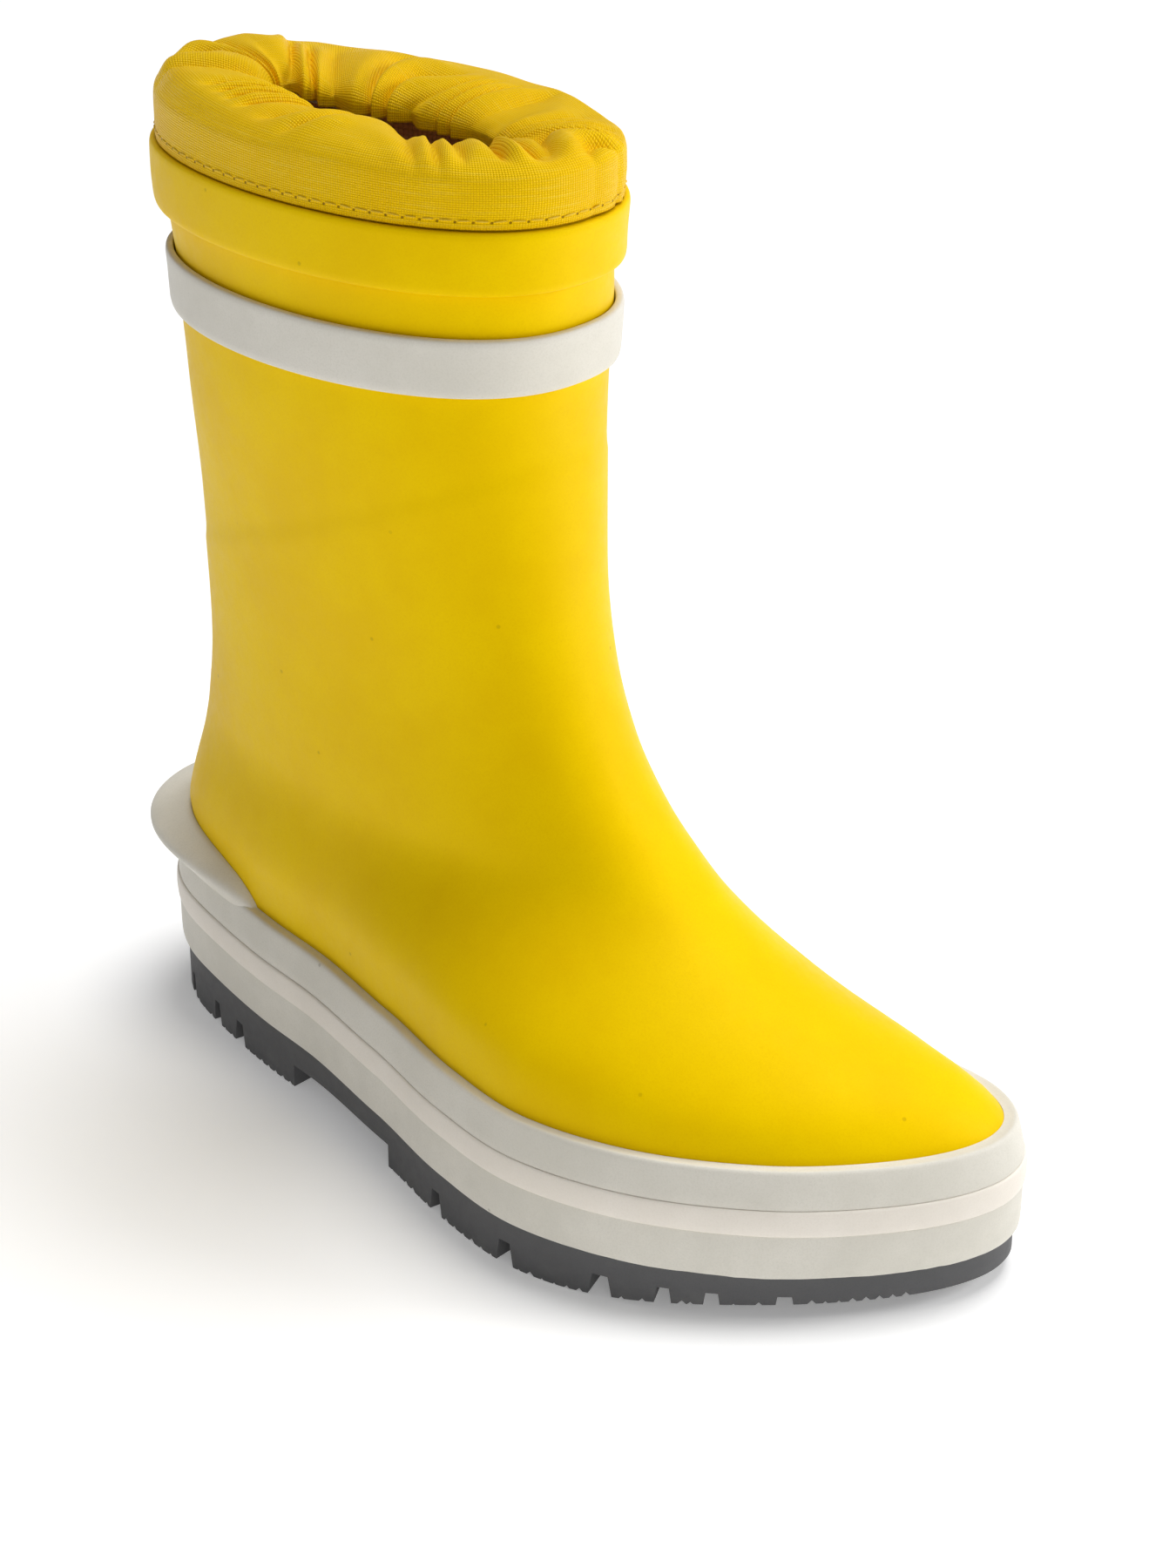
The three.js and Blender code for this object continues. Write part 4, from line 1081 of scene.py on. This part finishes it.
def stitchTree():
    tree, sockets, given, line = lineTree("seamStitches", {
        "Count": "Int", "Length": "Float", "Thickness": "Float", "Slant": "Float", "Seed": "Int"})
    points = firstOut(tree, "GeometryNodeResampleCurve", {"Curve": line, "Count": given["Count"]},
                      mode="COUNT")
    ball = firstOut(tree, "GeometryNodeMeshUVSphere", {"Segments": 10, "Rings": 7, "Radius": 0.5})
    size = firstOut(tree, "ShaderNodeCombineXYZ", {
        0: given["Thickness"], 1: given["Thickness"], 2: given["Length"]})
    shape = firstOut(tree, "GeometryNodeTransform", {"Geometry": ball, "Scale": size})
    down = product(tree, given["Slant"], -1.0)
    offset = addNode(tree, "FunctionNodeRandomValue", {2: down, 3: given["Slant"], "Seed": given["Seed"]},
                     data_type="FLOAT").outputs[1]
    slant = firstOut(tree, "ShaderNodeCombineXYZ", {0: 0.0, 1: 0.0, 2: offset})
    aim = vectorNode(tree, "ADD", firstOut(tree, "GeometryNodeInputTangent"), slant)
    turned = firstOut(tree, "FunctionNodeAlignRotationToVector", {"Vector": aim}, axis="Z")
    uneven = firstOut(tree, "FunctionNodeRandomValue", {
        0: (0.85, 0.85, 0.85), 1: (1.08, 1.08, 1.08), "Seed": given["Seed"]}, data_type="FLOAT_VECTOR")
    standAlong(tree, given, points, shape, turned, uneven, smoothFaces=True)
    return tree, sockets


def makeStitches():
    edges = [(k, (k + 1) % len(seamLine)) for k in range(len(seamLine))]
    obj = grown("seam_stitches", seamLine, edges, *stitchTree(), {
        "Count": stitchCount, "Length": seam["length"] * mm, "Thickness": seam["thickness"] * mm,
        "Slant": seam["slant"], "Seed": seam["seed"], "Material": yellowThread})
    settle(obj, "shell", "yellow_thread", yellowThread, "collar_thread")
    print("stitches: %d" % stitchCount)


makeStitches()

# Elastic cord in the hem

elastic = {"radius": 1.1, "columns": 300, "ribs": 0.05, "ribCount": 90, "fromMouth": 1.2, "underLip": 2.4}


def makeElastic():
    turn = ringAngles(elastic["columns"])
    inward = unit(mouth(turn) - collarFoot(turn, boot["gap"] + collar["thickness"]))
    back = collar["thickness"] + 2 * boot["gap"] + elastic["radius"]
    middle = mouth(turn) - inward * (back + elastic["fromMouth"])
    middle[:, 2] = collar["foot"] + collar["wall"] + crestAt(turn) - collar["lipDrop"] - elastic["underLip"]
    tangent = unit(np.roll(middle, -1, axis=0) - np.roll(middle, 1, axis=0))
    across = unit(np.cross(np.array([0, 0, 1.0]), tangent))
    rows = []
    for t in ringAngles(14):
        size = (elastic["radius"] - 0.2) * (1 + elastic["ribs"] * np.sin(elastic["ribCount"] * turn + 2 * t))
        ring = middle - across * (size * math.cos(t))[:, None]
        ring[:, 2] += size * math.sin(t)
        rows.append(ring)
    settle(gridPiece("collar_cord", np.array(rows)), "shell", "white_elastic", whiteElastic, "collar_elastic")


makeElastic()

# CAD nodes that stay, inside the wall and the sole
for material, nodes in ((spongeRubber, ("heel_wedge", "forefoot_filler")),
                        (fibreBoard, ("toe_puff", "heel_counter", "insole_board")),
                        (cottonDuck, ("vamp_interlining",))):
    for node in nodes:
        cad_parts[node].data.materials.clear()
        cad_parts[node].data.materials.append(material)
print("inner layers painted")

# Studio: pale floor, soft light and the camera

studio = {
    "azimuth": -47.025, "elevation": 27.340, "distance": 637.86, "lens": 76.29,
    "target": (-6.29, -17.13, 84.06),
    "world": 0.22, "floor": 40.0, "floorTones": ((0.94, 0.94, 0.95, 1), (0.96, 0.96, 0.96, 1)),
    "floorGlow": 0.2,    # keeps the shadows pale
    "lights": [("keyLight", (0.54, -0.6, 0.43), 0.35, 2.9), ("fillLight", (-0.6, -0.9, 0.5), 0.8, 1.6)],
    "aim": (0, 0, 0.09), "sun": 2.1, "sunAngle": 34, "sunFrom": (0.28, 0.03, 0.95),
}


def addToScene(name, data, way):    # way is where its front looks
    obj = bpy.data.objects.new(name, data)
    bpy.context.scene.collection.objects.link(obj)
    obj.rotation_mode = "QUATERNION"
    obj.rotation_quaternion = way.to_track_quat("-Z", "Y")
    return obj


def makeRoom(scene):
    world = bpy.data.worlds.new("softRoom")
    world.use_nodes = True
    room = world.node_tree
    seen = addNode(room, "ShaderNodeLightPath").outputs["Is Camera Ray"]    # white in view, softer as light
    room.nodes["Background"].inputs[0].default_value = (1, 1, 1, 1)
    room.links.new(mathNode(room, "MAXIMUM", seen, studio["world"]), room.nodes["Background"].inputs[1])
    scene.world = world
    half = studio["floor"]
    floor = meshObject("floor", [(-half, -half, 0), (half, -half, 0), (half, half, 0), (-half, half, 0)],
                       [(0, 1, 2, 3)])
    material, tree, skin = newMaterial("paleFloor")
    here = addNode(tree, "ShaderNodeTexCoord").outputs["Object"]
    cloud = rangeNode(tree, noiseNode(tree, here, 6.0, 3.0), 0.3, 0.7)
    tree.links.new(mixColour(tree, cloud, *studio["floorTones"]), skin.inputs["Base Color"])
    skin.inputs["Roughness"].default_value = 0.7
    skin.inputs["Specular IOR Level"].default_value = 0.2
    skin.inputs["Emission Color"].default_value = (1, 1, 1, 1)
    skin.inputs["Emission Strength"].default_value = studio["floorGlow"]
    floor.data.materials.append(material)


def makeLights():
    for name, where, size, power in studio["lights"]:
        light = bpy.data.lights.new(name, "AREA")
        light.shape = "DISK"
        light.size, light.energy = size, power
        addToScene(name, light, Vector(studio["aim"]) - Vector(where)).location = Vector(where)
    sun = bpy.data.lights.new("skyLight", "SUN")    # lights the far floor as much as the near one
    sun.energy, sun.angle = studio["sun"], math.radians(studio["sunAngle"])
    addToScene("skyLight", sun, -Vector(studio["sunFrom"]))


def makeCamera(scene):
    lens = bpy.data.cameras.new("camera")
    lens.sensor_fit, lens.sensor_height = "VERTICAL", 36
    lens.lens = studio["lens"]
    lens.clip_start, lens.clip_end = 0.01, 100    # the floor's far edge is in sight
    a, e = math.radians(studio["azimuth"]), math.radians(studio["elevation"])
    back = Vector((math.sin(a) * math.cos(e), -math.cos(a) * math.cos(e), math.sin(e)))
    camera = addToScene("camera", lens, -back)
    camera.location = Vector(studio["target"]) * mm + Vector(place) + back * studio["distance"] * mm
    scene.camera = camera


def makeStudio(scene):
    scene.view_settings.view_transform = "Standard"
    makeRoom(scene)
    makeLights()
    makeCamera(scene)


makeStudio(bpy.context.scene)
print("studio made")
